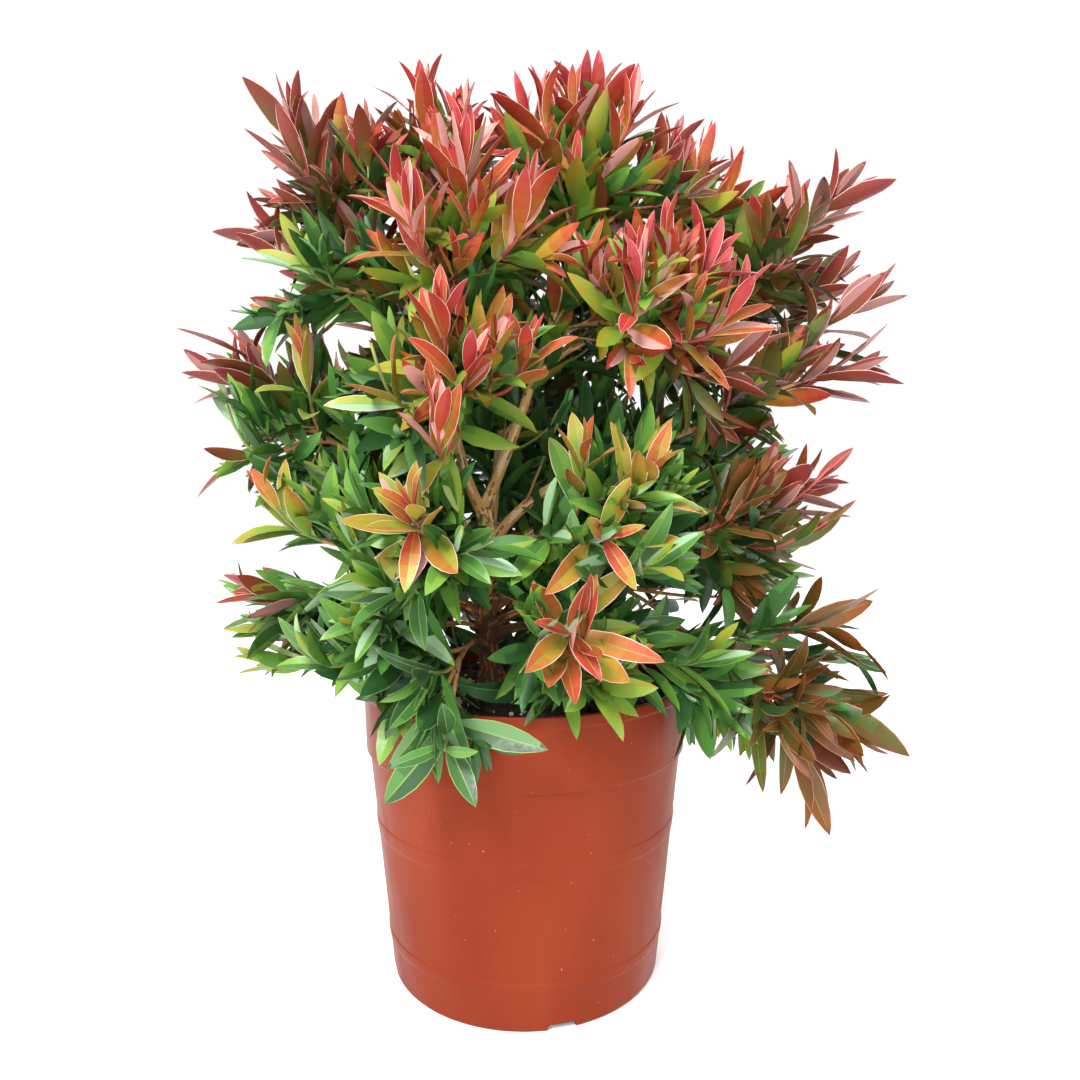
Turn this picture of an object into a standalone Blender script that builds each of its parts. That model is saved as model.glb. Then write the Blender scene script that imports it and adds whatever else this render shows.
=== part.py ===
"""Potted red rocket bottlebrush: a bushy evergreen shrub in a terracotta-coloured nursery pot.

Metres, +Z up. The origin is the centre of the pot's flat underside, and -Y is the front.
One trunk leaves the compost, and each mass of foliage has one limb: a bough from the trunk
or from another bough, then the mass's own stem. The two lie on one curve, which is cut
where it enters the mass's space. Shoots leave the stem by the golden angle, each ends in
a tuft of pointed leaves, and a shoot or leaf that wouldn't fit its space is left out.
"""

import math
import random
from collections import namedtuple

import bmesh
import bpy
import numpy as np
from mathutils import Matrix, Vector

CM = 0.01
MM = 0.001
GAP = 0.3 * MM

# The pot: a 19 cm nursery pot with a deep band under its rim
RIM_RADIUS = 9.5 * CM
POT_HEIGHT = 17.3 * CM
BAND_HEIGHT = 4.0 * CM
BAND_FOOT_RADIUS = 9.4 * CM
BODY_TOP_RADIUS = 9.2 * CM
FOOT_RADIUS = 7.95 * CM
WALL = 1.8 * MM
BEAD_HEIGHT = 6 * MM
BEAD_PROUD = 0.8 * MM
HOOPS = ((9.5 * CM, 8.7 * CM), (2.8 * CM, 2.2 * CM))
HOOP_PROUD = 0.5 * MM
FOOT_CHAMFER = 1.2 * MM
TURNED_STEPS = 36
INSIDE = (
    (WALL, FOOT_RADIUS - WALL),
    (POT_HEIGHT - BAND_HEIGHT, BODY_TOP_RADIUS - WALL),
    (POT_HEIGHT, RIM_RADIUS - WALL),
)
NOTCH_COUNT = 4
NOTCH_AZIMUTH = math.radians(15)
NOTCH_WIDTH = 16 * MM
NOTCH_HEIGHT = 4 * MM
NOTCH_DEPTH = 14 * MM
DRAIN_RADIUS = 5 * MM
DRAIN_CIRCLE = 4.6 * CM

# The compost that fills the pot
COMPOST_TOP = 16.5 * CM
COMPOST_EDGE = 16.1 * CM
COMPOST_FLAT_RADIUS = 4.5 * CM

# The trunk, from the compost to its fork
TRUNK_FOOT = Vector((-1.8 * CM, -0.7 * CM, COMPOST_TOP + GAP))
TRUNK_FORK = Vector((-2.3 * CM, -1.0 * CM, 27.2 * CM))
TRUNK_RADIUS = 6.0 * MM
TRUNK_FORK_RADIUS = 4.6 * MM
ROOT_FLARE = 1.7
FLARE_HEIGHT = 1.6 * CM
TRUNK_SWAY = Vector((0.6 * CM, 0, 0))
TRUNK_POINTS = 10

# Boughs, stems and shoots
BOUGH_SHARE = 0.74
BOUGH_RADIUS = 3.4 * MM
STEM_RADIUS = 1.5 * MM
SHOOT_RADIUS = 1.1 * MM
TIP_RADIUS = 0.7 * MM
PATH_STEPS = 24
BOUGH_POINTS = 6
STEM_POINTS = 5
SHOOT_POINTS = 3
GOLDEN_ANGLE = math.radians(137.508)

# Leaves, fewer and larger than life, so that the crown is as full as the real one
LEAF_LENGTH = 4.9 * CM
LEAF_WIDTH = 1.8 * CM
LEAF_THICKNESS = 1.2 * MM
LEAF_WIDEST = 0.44
LEAVES_IN_MASS = 16
# How far back from the shoot's tip each leaf leaves it, in cm, and its lean in degrees
LEAF_PLACES = ((0, 8), (0.5, 36), (1.2, 48), (2.2, 60), (3.4, 70), (4.8, 76), (6.3, 80))
LEAF_SHRINKS = (1.0, 0.82, 0.68)

# The clearances that a twig or a leaf keeps
SPACE_MARGIN = 0.4 * MM
LIMB_MARGIN = 1.2 * MM
POT_MARGIN = 1.5 * MM
LOWEST_LEAF = 9 * CM

# Each mass: the limb that carries it and how far along, its leader's tip in cm, how steeply
# that rises, how far the other shoots spread from it in cm, their number, the tint of their
# leaves, how far the limb bows aside in cm, and whether it has a bough or only its stem
Mass = namedtuple(
    "Mass",
    "name carrier along tip rise spread shoots tint bow bough",
    defaults=((0, 0, 0), True),
)
MASSES = (
    Mass("top", "trunk", 1.00, (4.0, -2.0, 48.6), 1.0, 4.4, 7, "crimson", (2.6, -2.2, 0)),
    Mass("centre_front", "trunk", 0.94, (-2.8, -7.0, 44.2), 1.0, 4.4, 7, "crimson", (-3.0, -1, 0)),
    Mass("back_top", "trunk", 0.87, (-0.5, 8.0, 46.5), 0.8, 4.8, 6, "crimson", (0.5, 3.5, -1)),
    Mass("top_left", "centre_front", 0.36, (-11.4, -1.0, 47.2), 0.8, 4.0, 6, "bronze"),
    Mass("top_mid_left", "back_top", 0.46, (-5.6, 1.0, 49.3), 1.2, 3.8, 6, "crimson"),
    Mass("top_right", "top", 0.46, (10.2, 2.5, 46.6), 1.0, 4.2, 6, "crimson"),
    Mass("right_shoulder", "top", 0.32, (16.0, 1.0, 42.4), 0.8, 4.0, 6, "bronze"),
    Mass("right_upper", "trunk", 0.83, (15.0, -3.0, 35.2), 0.45, 4.0, 6, "bronze"),
    Mass("front_upper_right", "top", 0.40, (8.4, -9.4, 38.2), 0.9, 4.2, 7, "crimson"),
    Mass("front_upper", "centre_front", 0.28, (-3.4, -11.6, 35.4), 0.9, 4.2, 7, "amber"),
    Mass("left_upper", "top_left", 0.34, (-13.2, -1.5, 40.8), 0.6, 3.8, 6, "bronze"),
    Mass("left_mid", "trunk", 0.75, (-14.4, -3.0, 34.2), 0.4, 3.8, 6, "bronze"),
    Mass("left_low", "trunk", 0.52, (-11.4, -7.6, 26.4), 0.2, 3.8, 6, "olive"),
    Mass("front_left", "trunk", 0.66, (-4.4, -13.0, 27.0), 0.4, 3.8, 6, "amber"),
    Mass("low_left", "trunk", 0.34, (-14.0, -1.5, 21.4), 0.1, 3.8, 6, "green"),
    Mass("front_right", "trunk", 0.63, (5.4, -12.0, 28.6), 0.4, 4.0, 6, "olive"),
    Mass("right_mid", "trunk", 0.57, (13.8, -6.0, 27.6), 0.3, 4.0, 6, "bronze"),
    Mass("right_low", "trunk", 0.40, (13.6, 0.0, 22.2), 0.2, 3.8, 6, "bronze"),
    Mass("low_right", "trunk", 0.30, (15.2, -7.8, 17.6), -0.3, 3.6, 6, "bronze"),
    Mass("back_left_high", "back_top", 0.34, (-11.0, 10.0, 40.6), 0.8, 4.4, 6, "bronze"),
    Mass("back_right_high", "back_top", 0.28, (11.0, 10.5, 40.4), 0.8, 4.4, 6, "bronze"),
    Mass("back_mid", "trunk", 0.79, (-0.5, 14.8, 35.6), 0.6, 4.4, 6, "olive", (-1, 1, -2)),
    Mass("back_left", "trunk", 0.58, (-13.0, 8.2, 29.6), 0.3, 4.2, 6, "olive"),
    Mass("back_right", "trunk", 0.48, (12.8, 9.4, 30.4), 0.3, 4.2, 6, "olive"),
    Mass("low_front", "trunk", 0.43, (2.6, -12.6, 21.6), 0.2, 3.8, 6, "amber", bough=False),
    Mass("low_front_left", "trunk", 0.26, (-9.4, -8.6, 19.6), 0.1, 3.8, 6, "green", bough=False),
    Mass("pot_spray", "trunk", 0.15, (-3.8, -12.2, 18.6), -0.3, 3.4, 6, "green", bough=False),
    Mass("low_front_right", "trunk", 0.20, (8.2, -9.0, 19.8), 0.0, 3.8, 6, "green", bough=False),
    Mass("back_low_left", "trunk", 0.28, (-7.0, 12.0, 22.6), 0.2, 4.2, 6, "green", bough=False),
    Mass("back_low_right", "trunk", 0.22, (7.4, 12.4, 22.4), 0.2, 4.2, 6, "green", bough=False),
    Mass("heart_left", "trunk", 0.46, (-8.6, 1.0, 30.0), 0.8, 4.0, 7, "green", bough=False),
    Mass("heart_right", "trunk", 0.71, (7.2, 3.2, 32.0), 0.8, 4.0, 7, "green", (1, 0, -1), False),
    Mass("heart_back", "trunk", 0.64, (1.6, 7.0, 30.0), 0.8, 4.2, 6, "green", (0, 1, -1), False),
)
TRUNK = "trunk"
UP = Vector((0, 0, 1))

# Finish: colour, roughness and metallic value
FINISHES = {
    "pot_plastic": ((0.49, 0.10, 0.045), 0.42, 0.0),
    "compost": ((0.022, 0.014, 0.010), 0.95, 0.0),
    "bark": ((0.42, 0.23, 0.11), 0.85, 0.0),
    "crimson": ((0.46, 0.06, 0.045), 0.48, 0.0),
    "bronze": ((0.22, 0.055, 0.035), 0.50, 0.0),
    "amber": ((0.50, 0.17, 0.03), 0.48, 0.0),
    "olive": ((0.14, 0.17, 0.02), 0.48, 0.0),
    "green": ((0.05, 0.15, 0.025), 0.45, 0.0),
}


def clear_scene():
    for obj in list(bpy.data.objects):
        bpy.data.objects.remove(obj)


def new_collection(name, shown=True):
    collection = bpy.data.collections.new(name)
    collection.hide_render = not shown
    bpy.context.scene.collection.children.link(collection)
    return collection


def new_material(name):
    colour, roughness, metallic = FINISHES[name]
    material = bpy.data.materials.new(name)
    material.use_nodes = True
    shader = material.node_tree.nodes["Principled BSDF"]
    shader.inputs["Base Color"].default_value = (*colour, 1)
    shader.inputs["Roughness"].default_value = roughness
    shader.inputs["Metallic"].default_value = metallic
    return material


def add_mesh_object(name, mesh, collection, material=None):
    obj = bpy.data.objects.new(name, mesh)
    collection.objects.link(obj)
    if material:
        mesh.materials.append(material)
    return obj


def object_of(bm, name, collection):
    mesh = bpy.data.meshes.new(name)
    bm.to_mesh(mesh)
    bm.free()
    return add_mesh_object(name, mesh, collection)


def mesh_of(obj):
    """The mesh that an object has with its modifiers, or that its curve makes."""
    bpy.context.view_layer.update()
    evaluated = obj.evaluated_get(bpy.context.evaluated_depsgraph_get())
    return bpy.data.meshes.new_from_object(evaluated)


def shade_round(mesh):
    mesh.shade_smooth()
    mesh.set_sharp_from_angle(angle=math.radians(35))


def turned(name, profile, collection, material):
    """A solid turned round Z from (radius, height) points that start and end on the axis."""
    bm = bmesh.new()
    corners = [bm.verts.new((radius, 0, height)) for radius, height in profile]
    for first, second in zip(corners, corners[1:]):
        bm.edges.new((first, second))
    obj = object_of(bm, name, collection)
    screw = obj.modifiers.new("turn", "SCREW")
    screw.steps = TURNED_STEPS
    screw.render_steps = TURNED_STEPS
    screw.use_merge_vertices = True
    screw.merge_threshold = 0.05 * MM
    mesh = mesh_of(obj)
    obj.modifiers.remove(screw)
    obj.data = mesh
    mesh.materials.append(material)
    shade_round(mesh)
    return obj


def tube(name, points, radii, collection, section=None):
    """A closed tapering tube along points: six-sided, or of another object's section."""
    curve = bpy.data.curves.new(name, "CURVE")
    curve.dimensions = "3D"
    curve.use_fill_caps = True
    curve.bevel_resolution = 1
    curve.bevel_depth = 1
    if section:
        curve.bevel_mode = "OBJECT"
        curve.bevel_object = section
    spline = curve.splines.new("POLY")
    spline.points.add(len(points) - 1)
    for place, point, radius in zip(spline.points, points, radii):
        place.co = (*point, 1)
        place.radius = radius
    line = bpy.data.objects.new(name, curve)
    collection.objects.link(line)
    mesh = mesh_of(line)
    bpy.data.objects.remove(line)
    bm = bmesh.new()
    bm.from_mesh(mesh)
    bmesh.ops.remove_doubles(bm, verts=bm.verts, dist=0.01 * MM)
    bmesh.ops.recalc_face_normals(bm, faces=bm.faces)
    bm.to_mesh(mesh)
    bm.free()
    return add_mesh_object(name, mesh, collection)


def triangle_section(collection):
    """The section of a three-sided twig, a metre in radius until a point's radius scales it."""
    curve = bpy.data.curves.new("twig_section", "CURVE")
    spline = curve.splines.new("POLY")
    spline.points.add(2)
    for index, place in enumerate(spline.points):
        angle = index * math.tau / 3
        place.co = (math.cos(angle), math.sin(angle), 0, 1)
    spline.use_cyclic_u = True
    obj = bpy.data.objects.new("twig_section", curve)
    obj.hide_render = True
    obj.display_type = "WIRE"
    collection.objects.link(obj)
    return obj


def cut_with(obj, cutter):
    cutter.hide_render = True
    cutter.display_type = "WIRE"
    cut = obj.modifiers.new(cutter.name, "BOOLEAN")
    cut.operation = "DIFFERENCE"
    cut.object = cutter


def fuse(obj, collection):
    """Unites a collection's objects with obj, applies that and removes the objects."""
    join = obj.modifiers.new("fuse", "BOOLEAN")
    join.operation = "UNION"
    join.solver = "MANIFOLD"
    join.operand_type = "COLLECTION"
    join.collection = collection
    mesh = mesh_of(obj)
    obj.modifiers.clear()
    obj.data = mesh
    for used in list(collection.objects):
        bpy.data.objects.remove(used)


def keep_largest_surface(mesh):
    """Drops loose scraps, and fills each hollow that fusing sealed."""
    bm = bmesh.new()
    bm.from_mesh(mesh)
    left = set(bm.faces)
    surfaces = []
    while left:
        edge_of_surface = [left.pop()]
        surface = set(edge_of_surface)
        while edge_of_surface:
            face = edge_of_surface.pop()
            near = {other for edge in face.edges for other in edge.link_faces}
            found = near & left
            left -= found
            surface |= found
            edge_of_surface.extend(found)
        surfaces.append(surface)
    largest = max(surfaces, key=len)
    scraps = [face for surface in surfaces if surface is not largest for face in surface]
    bmesh.ops.delete(bm, geom=scraps, context="FACES")
    bm.to_mesh(mesh)
    bm.free()


def body_radius(height):
    """The pot's outer radius below its band."""
    share = height / (POT_HEIGHT - BAND_HEIGHT)
    return FOOT_RADIUS + (BODY_TOP_RADIUS - FOOT_RADIUS) * share


def inner_radius(height):
    """The pot's inner radius, straight from its floor to its band and on to the rim."""
    return float(np.interp(height, [h for h, _ in INSIDE], [r for _, r in INSIDE]))


def pot_outer_profile():
    """(radius, height) down the outside, from the rim to the foot."""
    band_foot = POT_HEIGHT - BAND_HEIGHT
    bead_foot = POT_HEIGHT - BEAD_HEIGHT
    points = [
        (RIM_RADIUS + BEAD_PROUD - 0.6 * MM, POT_HEIGHT),
        (RIM_RADIUS + BEAD_PROUD, POT_HEIGHT - 0.8 * MM),
        (RIM_RADIUS + BEAD_PROUD, bead_foot + 0.6 * MM),
        (RIM_RADIUS, bead_foot),
        (BAND_FOOT_RADIUS, band_foot + 0.8 * MM),
        (BODY_TOP_RADIUS, band_foot - 0.8 * MM),
    ]
    for top, foot in HOOPS:
        points += [
            (body_radius(top), top + 0.4 * MM),
            (body_radius(top) + HOOP_PROUD, top - 0.4 * MM),
            (body_radius(foot) + HOOP_PROUD, foot + 0.4 * MM),
            (body_radius(foot), foot - 0.4 * MM),
        ]
    points += [(FOOT_RADIUS, FOOT_CHAMFER), (FOOT_RADIUS - FOOT_CHAMFER, 0)]
    return points


def make_pot(parts, cutters, material):
    """The pot, with notches in its lower edge and drain holes through its floor."""
    inside = [(0, WALL)] + [(radius, height) for height, radius in INSIDE]
    pot = turned("pot", inside + pot_outer_profile() + [(0, 0)], parts, material)
    for index in range(NOTCH_COUNT):
        turn = Matrix.Rotation(NOTCH_AZIMUTH + index * math.tau / NOTCH_COUNT, 4, "Z")
        bm = bmesh.new()
        size = Matrix.Diagonal((NOTCH_WIDTH, NOTCH_DEPTH, 2 * NOTCH_HEIGHT, 1))
        bmesh.ops.create_cube(bm, size=1, matrix=size)
        notch = object_of(bm, f"notch_{index + 1}", cutters)
        notch.matrix_world = turn @ Matrix.Translation((0, -FOOT_RADIUS, 0))
        cut_with(pot, notch)
        bm = bmesh.new()
        bmesh.ops.create_cone(
            bm, cap_ends=True, segments=12, depth=6 * WALL,
            radius1=DRAIN_RADIUS, radius2=DRAIN_RADIUS,
        )
        drain = object_of(bm, f"drain_{index + 1}", cutters)
        drain.matrix_world = turn @ Matrix.Translation((0, -DRAIN_CIRCLE, 0))
        cut_with(pot, drain)


def make_compost(parts, material):
    floor = WALL + GAP
    bend = POT_HEIGHT - BAND_HEIGHT
    profile = [(0, COMPOST_TOP), (COMPOST_FLAT_RADIUS, COMPOST_TOP)]
    profile += [(inner_radius(h) - GAP, h) for h in (COMPOST_EDGE, bend, floor)]
    turned("compost", profile + [(0, floor)], parts, material)


def bezier(start, first, second, end):
    """PATH_STEPS + 1 points along a cubic curve."""
    points = []
    for step in range(PATH_STEPS + 1):
        t = step / PATH_STEPS
        u = 1 - t
        points.append(
            u**3 * start + 3 * u * u * t * first + 3 * u * t * t * second + t**3 * end
        )
    return points


def point_at(path, share):
    """The point this share of the way along a path, by its steps."""
    place = max(0.0, min(1.0, share)) * (len(path) - 1)
    index = min(int(place), len(path) - 2)
    return path[index].lerp(path[index + 1], place - index)


def heading_at(path, share):
    step = 0.5 / (len(path) - 1)
    return (point_at(path, share + step) - point_at(path, share - step)).normalized()


def length_of(path):
    return sum((second - first).length for first, second in zip(path, path[1:]))


class Limb:
    """A path with a radius at each share of it."""

    def __init__(self, path, foot_radius, tip_radius):
        self.path = path
        self.foot_radius = foot_radius
        self.tip_radius = tip_radius

    def radius(self, share):
        return self.foot_radius + (self.tip_radius - self.foot_radius) * share

    def tube(self, name, first, last, count, collection, extra=0.0, section=None):
        """A tube along it from share first to share last, thicker by extra."""
        shares = [first + (last - first) * i / (count - 1) for i in range(count)]
        points = [point_at(self.path, share) for share in shares]
        radii = [self.radius(share) + extra for share in shares]
        return tube(name, points, radii, collection, section)


class Trunk(Limb):
    """The limb that stands in the compost, with its root flare."""

    def radius(self, share):
        height = share * (TRUNK_FORK.z - TRUNK_FOOT.z)
        flare = 1 + (ROOT_FLARE - 1) * max(0.0, 1 - height / FLARE_HEIGHT) ** 2
        return super().radius(share) * flare


def trunk_limb():
    middle = TRUNK_FOOT.lerp(TRUNK_FORK, 0.5)
    path = bezier(TRUNK_FOOT, middle - TRUNK_SWAY * 1.4, middle + TRUNK_SWAY, TRUNK_FORK)
    return Trunk(path, TRUNK_RADIUS, TRUNK_FORK_RADIUS)


def limb_for(mass, carrier):
    """The limb of one mass: out of its carrier, then bending to rise at its tip."""
    start = point_at(carrier.path, mass.along)
    tip = Vector(mass.tip) * CM
    way = tip - start
    out = way.normalized()
    leaving = (out * 1.3 + heading_at(carrier.path, mass.along) + UP * 0.15).normalized()
    arriving = (out + UP * mass.rise).normalized()
    first = start + leaving * way.length * 0.36 + Vector(mass.bow) * CM
    second = tip - arriving * way.length * 0.34
    foot_radius = min(carrier.radius(mass.along) * BOUGH_SHARE, BOUGH_RADIUS)
    return Limb(bezier(start, first, second, tip), foot_radius, TIP_RADIUS)


def lay_out_limbs():
    limbs = {TRUNK: trunk_limb()}
    for mass in MASSES:
        limbs[mass.name] = limb_for(mass, limbs[mass.carrier])
    return limbs


def array_of(points):
    return np.array([list(point) for point in points])


class Space:
    """The cell of one mass: the points nearer to its centre than to any other's."""

    def __init__(self, centre, others):
        self.across = array_of((other - centre).normalized() for other in others)
        middles = array_of((centre + other) / 2 for other in others)
        self.walls = (self.across * middles).sum(axis=1)

    def holds(self, points, margin):
        return bool((points @ self.across.T < self.walls - margin).all())

    def entry(self, path):
        """The share of a path from which it stays inside, past its first steps."""
        margin = SPACE_MARGIN + STEM_RADIUS
        outside = [
            index for index, point in enumerate(path)
            if index < 2 or not self.holds(array_of([point]), margin)
        ]
        return (max(outside) + 1) / (len(path) - 1)


def clear_of_pot(points):
    """Whether every point is off the pot and its compost."""
    out = np.hypot(points[:, 0], points[:, 1])
    high = points[:, 2]
    inside = np.interp(high, [h for h, _ in INSIDE], [r for _, r in INSIDE])
    above = high > POT_HEIGHT + POT_MARGIN
    beside = (out > RIM_RADIUS + BEAD_PROUD + POT_MARGIN) & (high > LOWEST_LEAF)
    within = (out < inside - POT_MARGIN) & (high > COMPOST_TOP + POT_MARGIN)
    return bool((above | beside | within).all())


class Obstacles:
    """What a mass keeps clear of: every limb as far as its own mass, in straight pieces."""

    def __init__(self, limbs, entries, owner):
        starts, ways, radii = [], [], []
        for name, limb in limbs.items():
            last = entries[name] - (0.08 if name == owner else 0)
            for index in range(PATH_STEPS):
                low, high = index / PATH_STEPS, (index + 1) / PATH_STEPS
                if low < last:
                    start = point_at(limb.path, low)
                    starts.append(start)
                    ways.append(point_at(limb.path, min(high, last)) - start)
                    radii.append(limb.radius(low))
        self.starts = array_of(starts)
        self.ways = array_of(ways)
        self.radii = np.array(radii)

    def clear(self, points, margin):
        apart = points[:, None, :] - self.starts[None]
        run = np.maximum((self.ways**2).sum(axis=1), 1e-12)
        share = np.clip((apart * self.ways[None]).sum(axis=2) / run, 0, 1)
        nearest = apart - share[:, :, None] * self.ways[None]
        distance = np.sqrt((nearest**2).sum(axis=2))
        return bool((distance > self.radii + margin).all())


class Room:
    """The space, the pot and the obstacles that decide whether a twig or a leaf fits."""

    def __init__(self, space, obstacles):
        self.space = space
        self.obstacles = obstacles

    def fits(self, points, margin):
        points = array_of(points)
        return (
            self.space.holds(points, SPACE_MARGIN + margin)
            and clear_of_pot(points)
            and self.obstacles.clear(points, LIMB_MARGIN + margin)
        )


def side_shoots(mass, path, entry, generator):
    """The paths of a mass's other shoots. Their tips lie on a dome round the leader's."""
    tip = path[-1]
    arriving = heading_at(path, 1.0)
    side = arriving.orthogonal().normalized()
    other_side = arriving.cross(side)
    first_angle = generator.uniform(0, math.tau)
    shoots = []
    for index in range(1, mass.shoots):
        angle = first_angle + index * GOLDEN_ANGLE
        far = math.sqrt(index / (mass.shoots - 1))
        out = side * math.cos(angle) + other_side * math.sin(angle)
        sunk = mass.spread * far * far * 0.5 + generator.uniform(0.2, 1.6)
        end = tip + (out * mass.spread * far - arriving * sunk) * CM
        leaves_at = entry + (1 - entry) * (0.62 - 0.5 * far)
        start = point_at(path, leaves_at)
        final = (arriving + out * 0.55 + UP * 0.2).normalized()
        length = (end - start).length
        first = start + heading_at(path, leaves_at) * length * 0.3
        shoots.append(bezier(start, first, end - final * length * 0.35, end))
    return shoots


def leaf_mesh():
    """A pointed leaf of 6 faces, a metre long along +Y and a metre wide, with a ridge on top."""
    bm = bmesh.new()
    bmesh.ops.create_uvsphere(bm, u_segments=3, v_segments=2, radius=0.5)
    for corner in bm.verts:
        x, y, z = corner.co
        if abs(z) > 0.4:
            corner.co = (0, 0.5 + z, 0)
        elif abs(x) < 0.1:
            corner.co = (0, LEAF_WIDEST, 1)
        else:
            corner.co = (math.copysign(0.5, x), LEAF_WIDEST, 0)
    bmesh.ops.reverse_faces(bm, faces=bm.faces)
    mesh = bpy.data.meshes.new("leaf")
    bm.to_mesh(mesh)
    bm.free()
    return mesh


def leaf_matrix(root, heading, angle, lean, length):
    """Puts a leaf's foot at root and leans it out from the shoot's heading."""
    side = heading.orthogonal().normalized()
    out = side * math.cos(angle) + heading.cross(side) * math.sin(angle)
    along = heading * math.cos(lean) + out * math.sin(lean)
    across = heading.cross(out)
    turn = Matrix((across, along, across.cross(along))).transposed().to_4x4()
    width = LEAF_WIDTH * length / LEAF_LENGTH
    size = Matrix.Diagonal((width, length, LEAF_THICKNESS, 1))
    return Matrix.Translation(root) @ turn @ size


def leaf_outline(matrix):
    """Points along both edges and the midrib of a placed leaf, past its foot."""
    points = []
    for step in range(1, 9):
        y = step / 8
        width = min(y / LEAF_WIDEST, (1 - y) / (1 - LEAF_WIDEST))
        points += [matrix @ Vector((side * width / 2, y, 0)) for side in (-1, 0, 1)]
    return points


def placed_leaves(shoots, generator, room):
    """Where leaves fit: those at the shoots' tips first, then those further back."""
    first_angles = [generator.uniform(0, math.tau) for _ in shoots]
    placed = []
    for level, (back, lean) in enumerate(LEAF_PLACES):
        for path, first_angle in zip(shoots, first_angles):
            share = 1 - back * CM / length_of(path)
            length = LEAF_LENGTH * generator.uniform(0.86, 1.06)
            tilt = math.radians(lean + generator.uniform(-6, 6))
            if share < 0.2 or len(placed) == LEAVES_IN_MASS:
                continue
            root = point_at(path, share - 0.02)
            angle = first_angle + level * GOLDEN_ANGLE
            for shrink in LEAF_SHRINKS:
                heading = heading_at(path, share)
                matrix = leaf_matrix(root, heading, angle, tilt, length * shrink)
                if room.fits(leaf_outline(matrix), LEAF_THICKNESS):
                    placed.append(matrix)
                    break
    return placed


def make_mass(mass, limb, entry, room, kit, material):
    """One mass: its stem, its shoots and their leaves, fused into one solid."""
    generator = random.Random(mass.name)
    start = entry + GAP / length_of(limb.path) if mass.bough else 0
    stem_radius = STEM_RADIUS if mass.bough else min(limb.foot_radius, 2 * MM)
    stem = Limb(limb.path, stem_radius, TIP_RADIUS)
    body = stem.tube(
        f"foliage_{mass.name}", start, 1, STEM_POINTS, kit["parts"], section=kit["section"]
    )
    leader = [
        point_at(limb.path, entry + (1 - entry) * index / PATH_STEPS)
        for index in range(PATH_STEPS + 1)
    ]
    shoots = [leader]
    for path in side_shoots(mass, limb.path, entry, generator):
        if room.fits(path[3:], SHOOT_RADIUS):
            shoots.append(path)
            shoot = Limb(path, SHOOT_RADIUS, TIP_RADIUS)
            shoot.tube("shoot", 0, 1, SHOOT_POINTS, kit["pieces"], section=kit["section"])
    leaves = placed_leaves(shoots, generator, room)
    for matrix in leaves:
        blade = add_mesh_object("blade", kit["leaf"], kit["pieces"])
        blade.matrix_world = matrix
    fuse(body, kit["pieces"])
    keep_largest_surface(body.data)
    body.data.materials.clear()
    body.data.materials.append(material)
    return body, len(shoots), len(leaves)


def make_trunk(limb, parts, material):
    trunk = limb.tube(TRUNK, 0, 1, TRUNK_POINTS, parts)
    for corner in trunk.data.vertices:
        if corner.co.z < TRUNK_FOOT.z + 3 * MM:
            corner.co.z = TRUNK_FOOT.z
    trunk.data.materials.append(material)
    shade_round(trunk.data)


def touch(first, second, last_of_first, last_of_second):
    """Whether two limbs come within the gap of each other."""
    ends = ((first, last_of_first), (second, last_of_second))
    paths = [
        array_of(point_at(limb.path, last * i / PATH_STEPS) for i in range(PATH_STEPS + 1))
        for limb, last in ends
    ]
    apart = np.linalg.norm(paths[0][:, None] - paths[1][None], axis=2)
    return apart.min() < first.radius(0) + second.radius(0) + 2 * GAP


def seat(bodies, limbs, entries, cutters):
    """Cuts each limb back from those before it that it meets, which leaves a gap there."""
    before = [TRUNK]
    for name, body in bodies.items():
        for other in before:
            if touch(limbs[name], limbs[other], entries[name], entries[other]):
                seat_name = f"{name}_off_{other}"
                last = entries[other]
                cut_with(body, limbs[other].tube(seat_name, 0, last, TRUNK_POINTS, cutters, GAP))
        before.append(name)


def main():
    clear_scene()
    parts = new_collection("potted_bottlebrush")
    cutters = new_collection("cutters", shown=False)
    kit = {
        "parts": parts,
        "pieces": new_collection("pieces_to_fuse", shown=False),
        "section": triangle_section(cutters),
        "leaf": leaf_mesh(),
    }
    materials = {name: new_material(name) for name in FINISHES}
    limbs = lay_out_limbs()
    centres = {mass.name: point_at(limbs[mass.name].path, 0.86) for mass in MASSES}
    entries = {TRUNK: 1.0}
    spaces = {}
    for name, centre in centres.items():
        spaces[name] = Space(centre, [at for key, at in centres.items() if key != name])
        entries[name] = spaces[name].entry(limbs[name].path)
    bodies = {}
    for mass in MASSES:
        limb = limbs[mass.name]
        room = Room(spaces[mass.name], Obstacles(limbs, entries, mass.name))
        entry = entries[mass.name]
        body, shoots, leaves = make_mass(mass, limb, entry, room, kit, materials[mass.tint])
        print(f"{mass.name}: entry {entry:.2f}, {shoots} shoots, {leaves} leaves")
        if mass.bough:
            body = limb.tube(f"bough_{mass.name}", 0, entry, BOUGH_POINTS, parts)
            body.data.materials.append(materials["bark"])
            shade_round(body.data)
        bodies[mass.name] = body
    make_trunk(limbs[TRUNK], parts, materials["bark"])
    seat(bodies, limbs, entries, cutters)
    make_pot(parts, cutters, materials["pot_plastic"])
    make_compost(parts, materials["compost"])


main()
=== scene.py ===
"""The looks of a potted red rocket bottlebrush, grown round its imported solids.

Metres, +Z up, the front towards -Y. The trunk, boughs and shoots follow the rule that the
solids were made by. Here that rule goes on to finer twigs and to every single leaf: leaves
spiral up each shoot by the golden angle and stand closest at its tip.
"""

import math
import random
from collections import namedtuple

import bmesh
import bpy
import numpy as np
from mathutils import Matrix, Vector, noise

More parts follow.
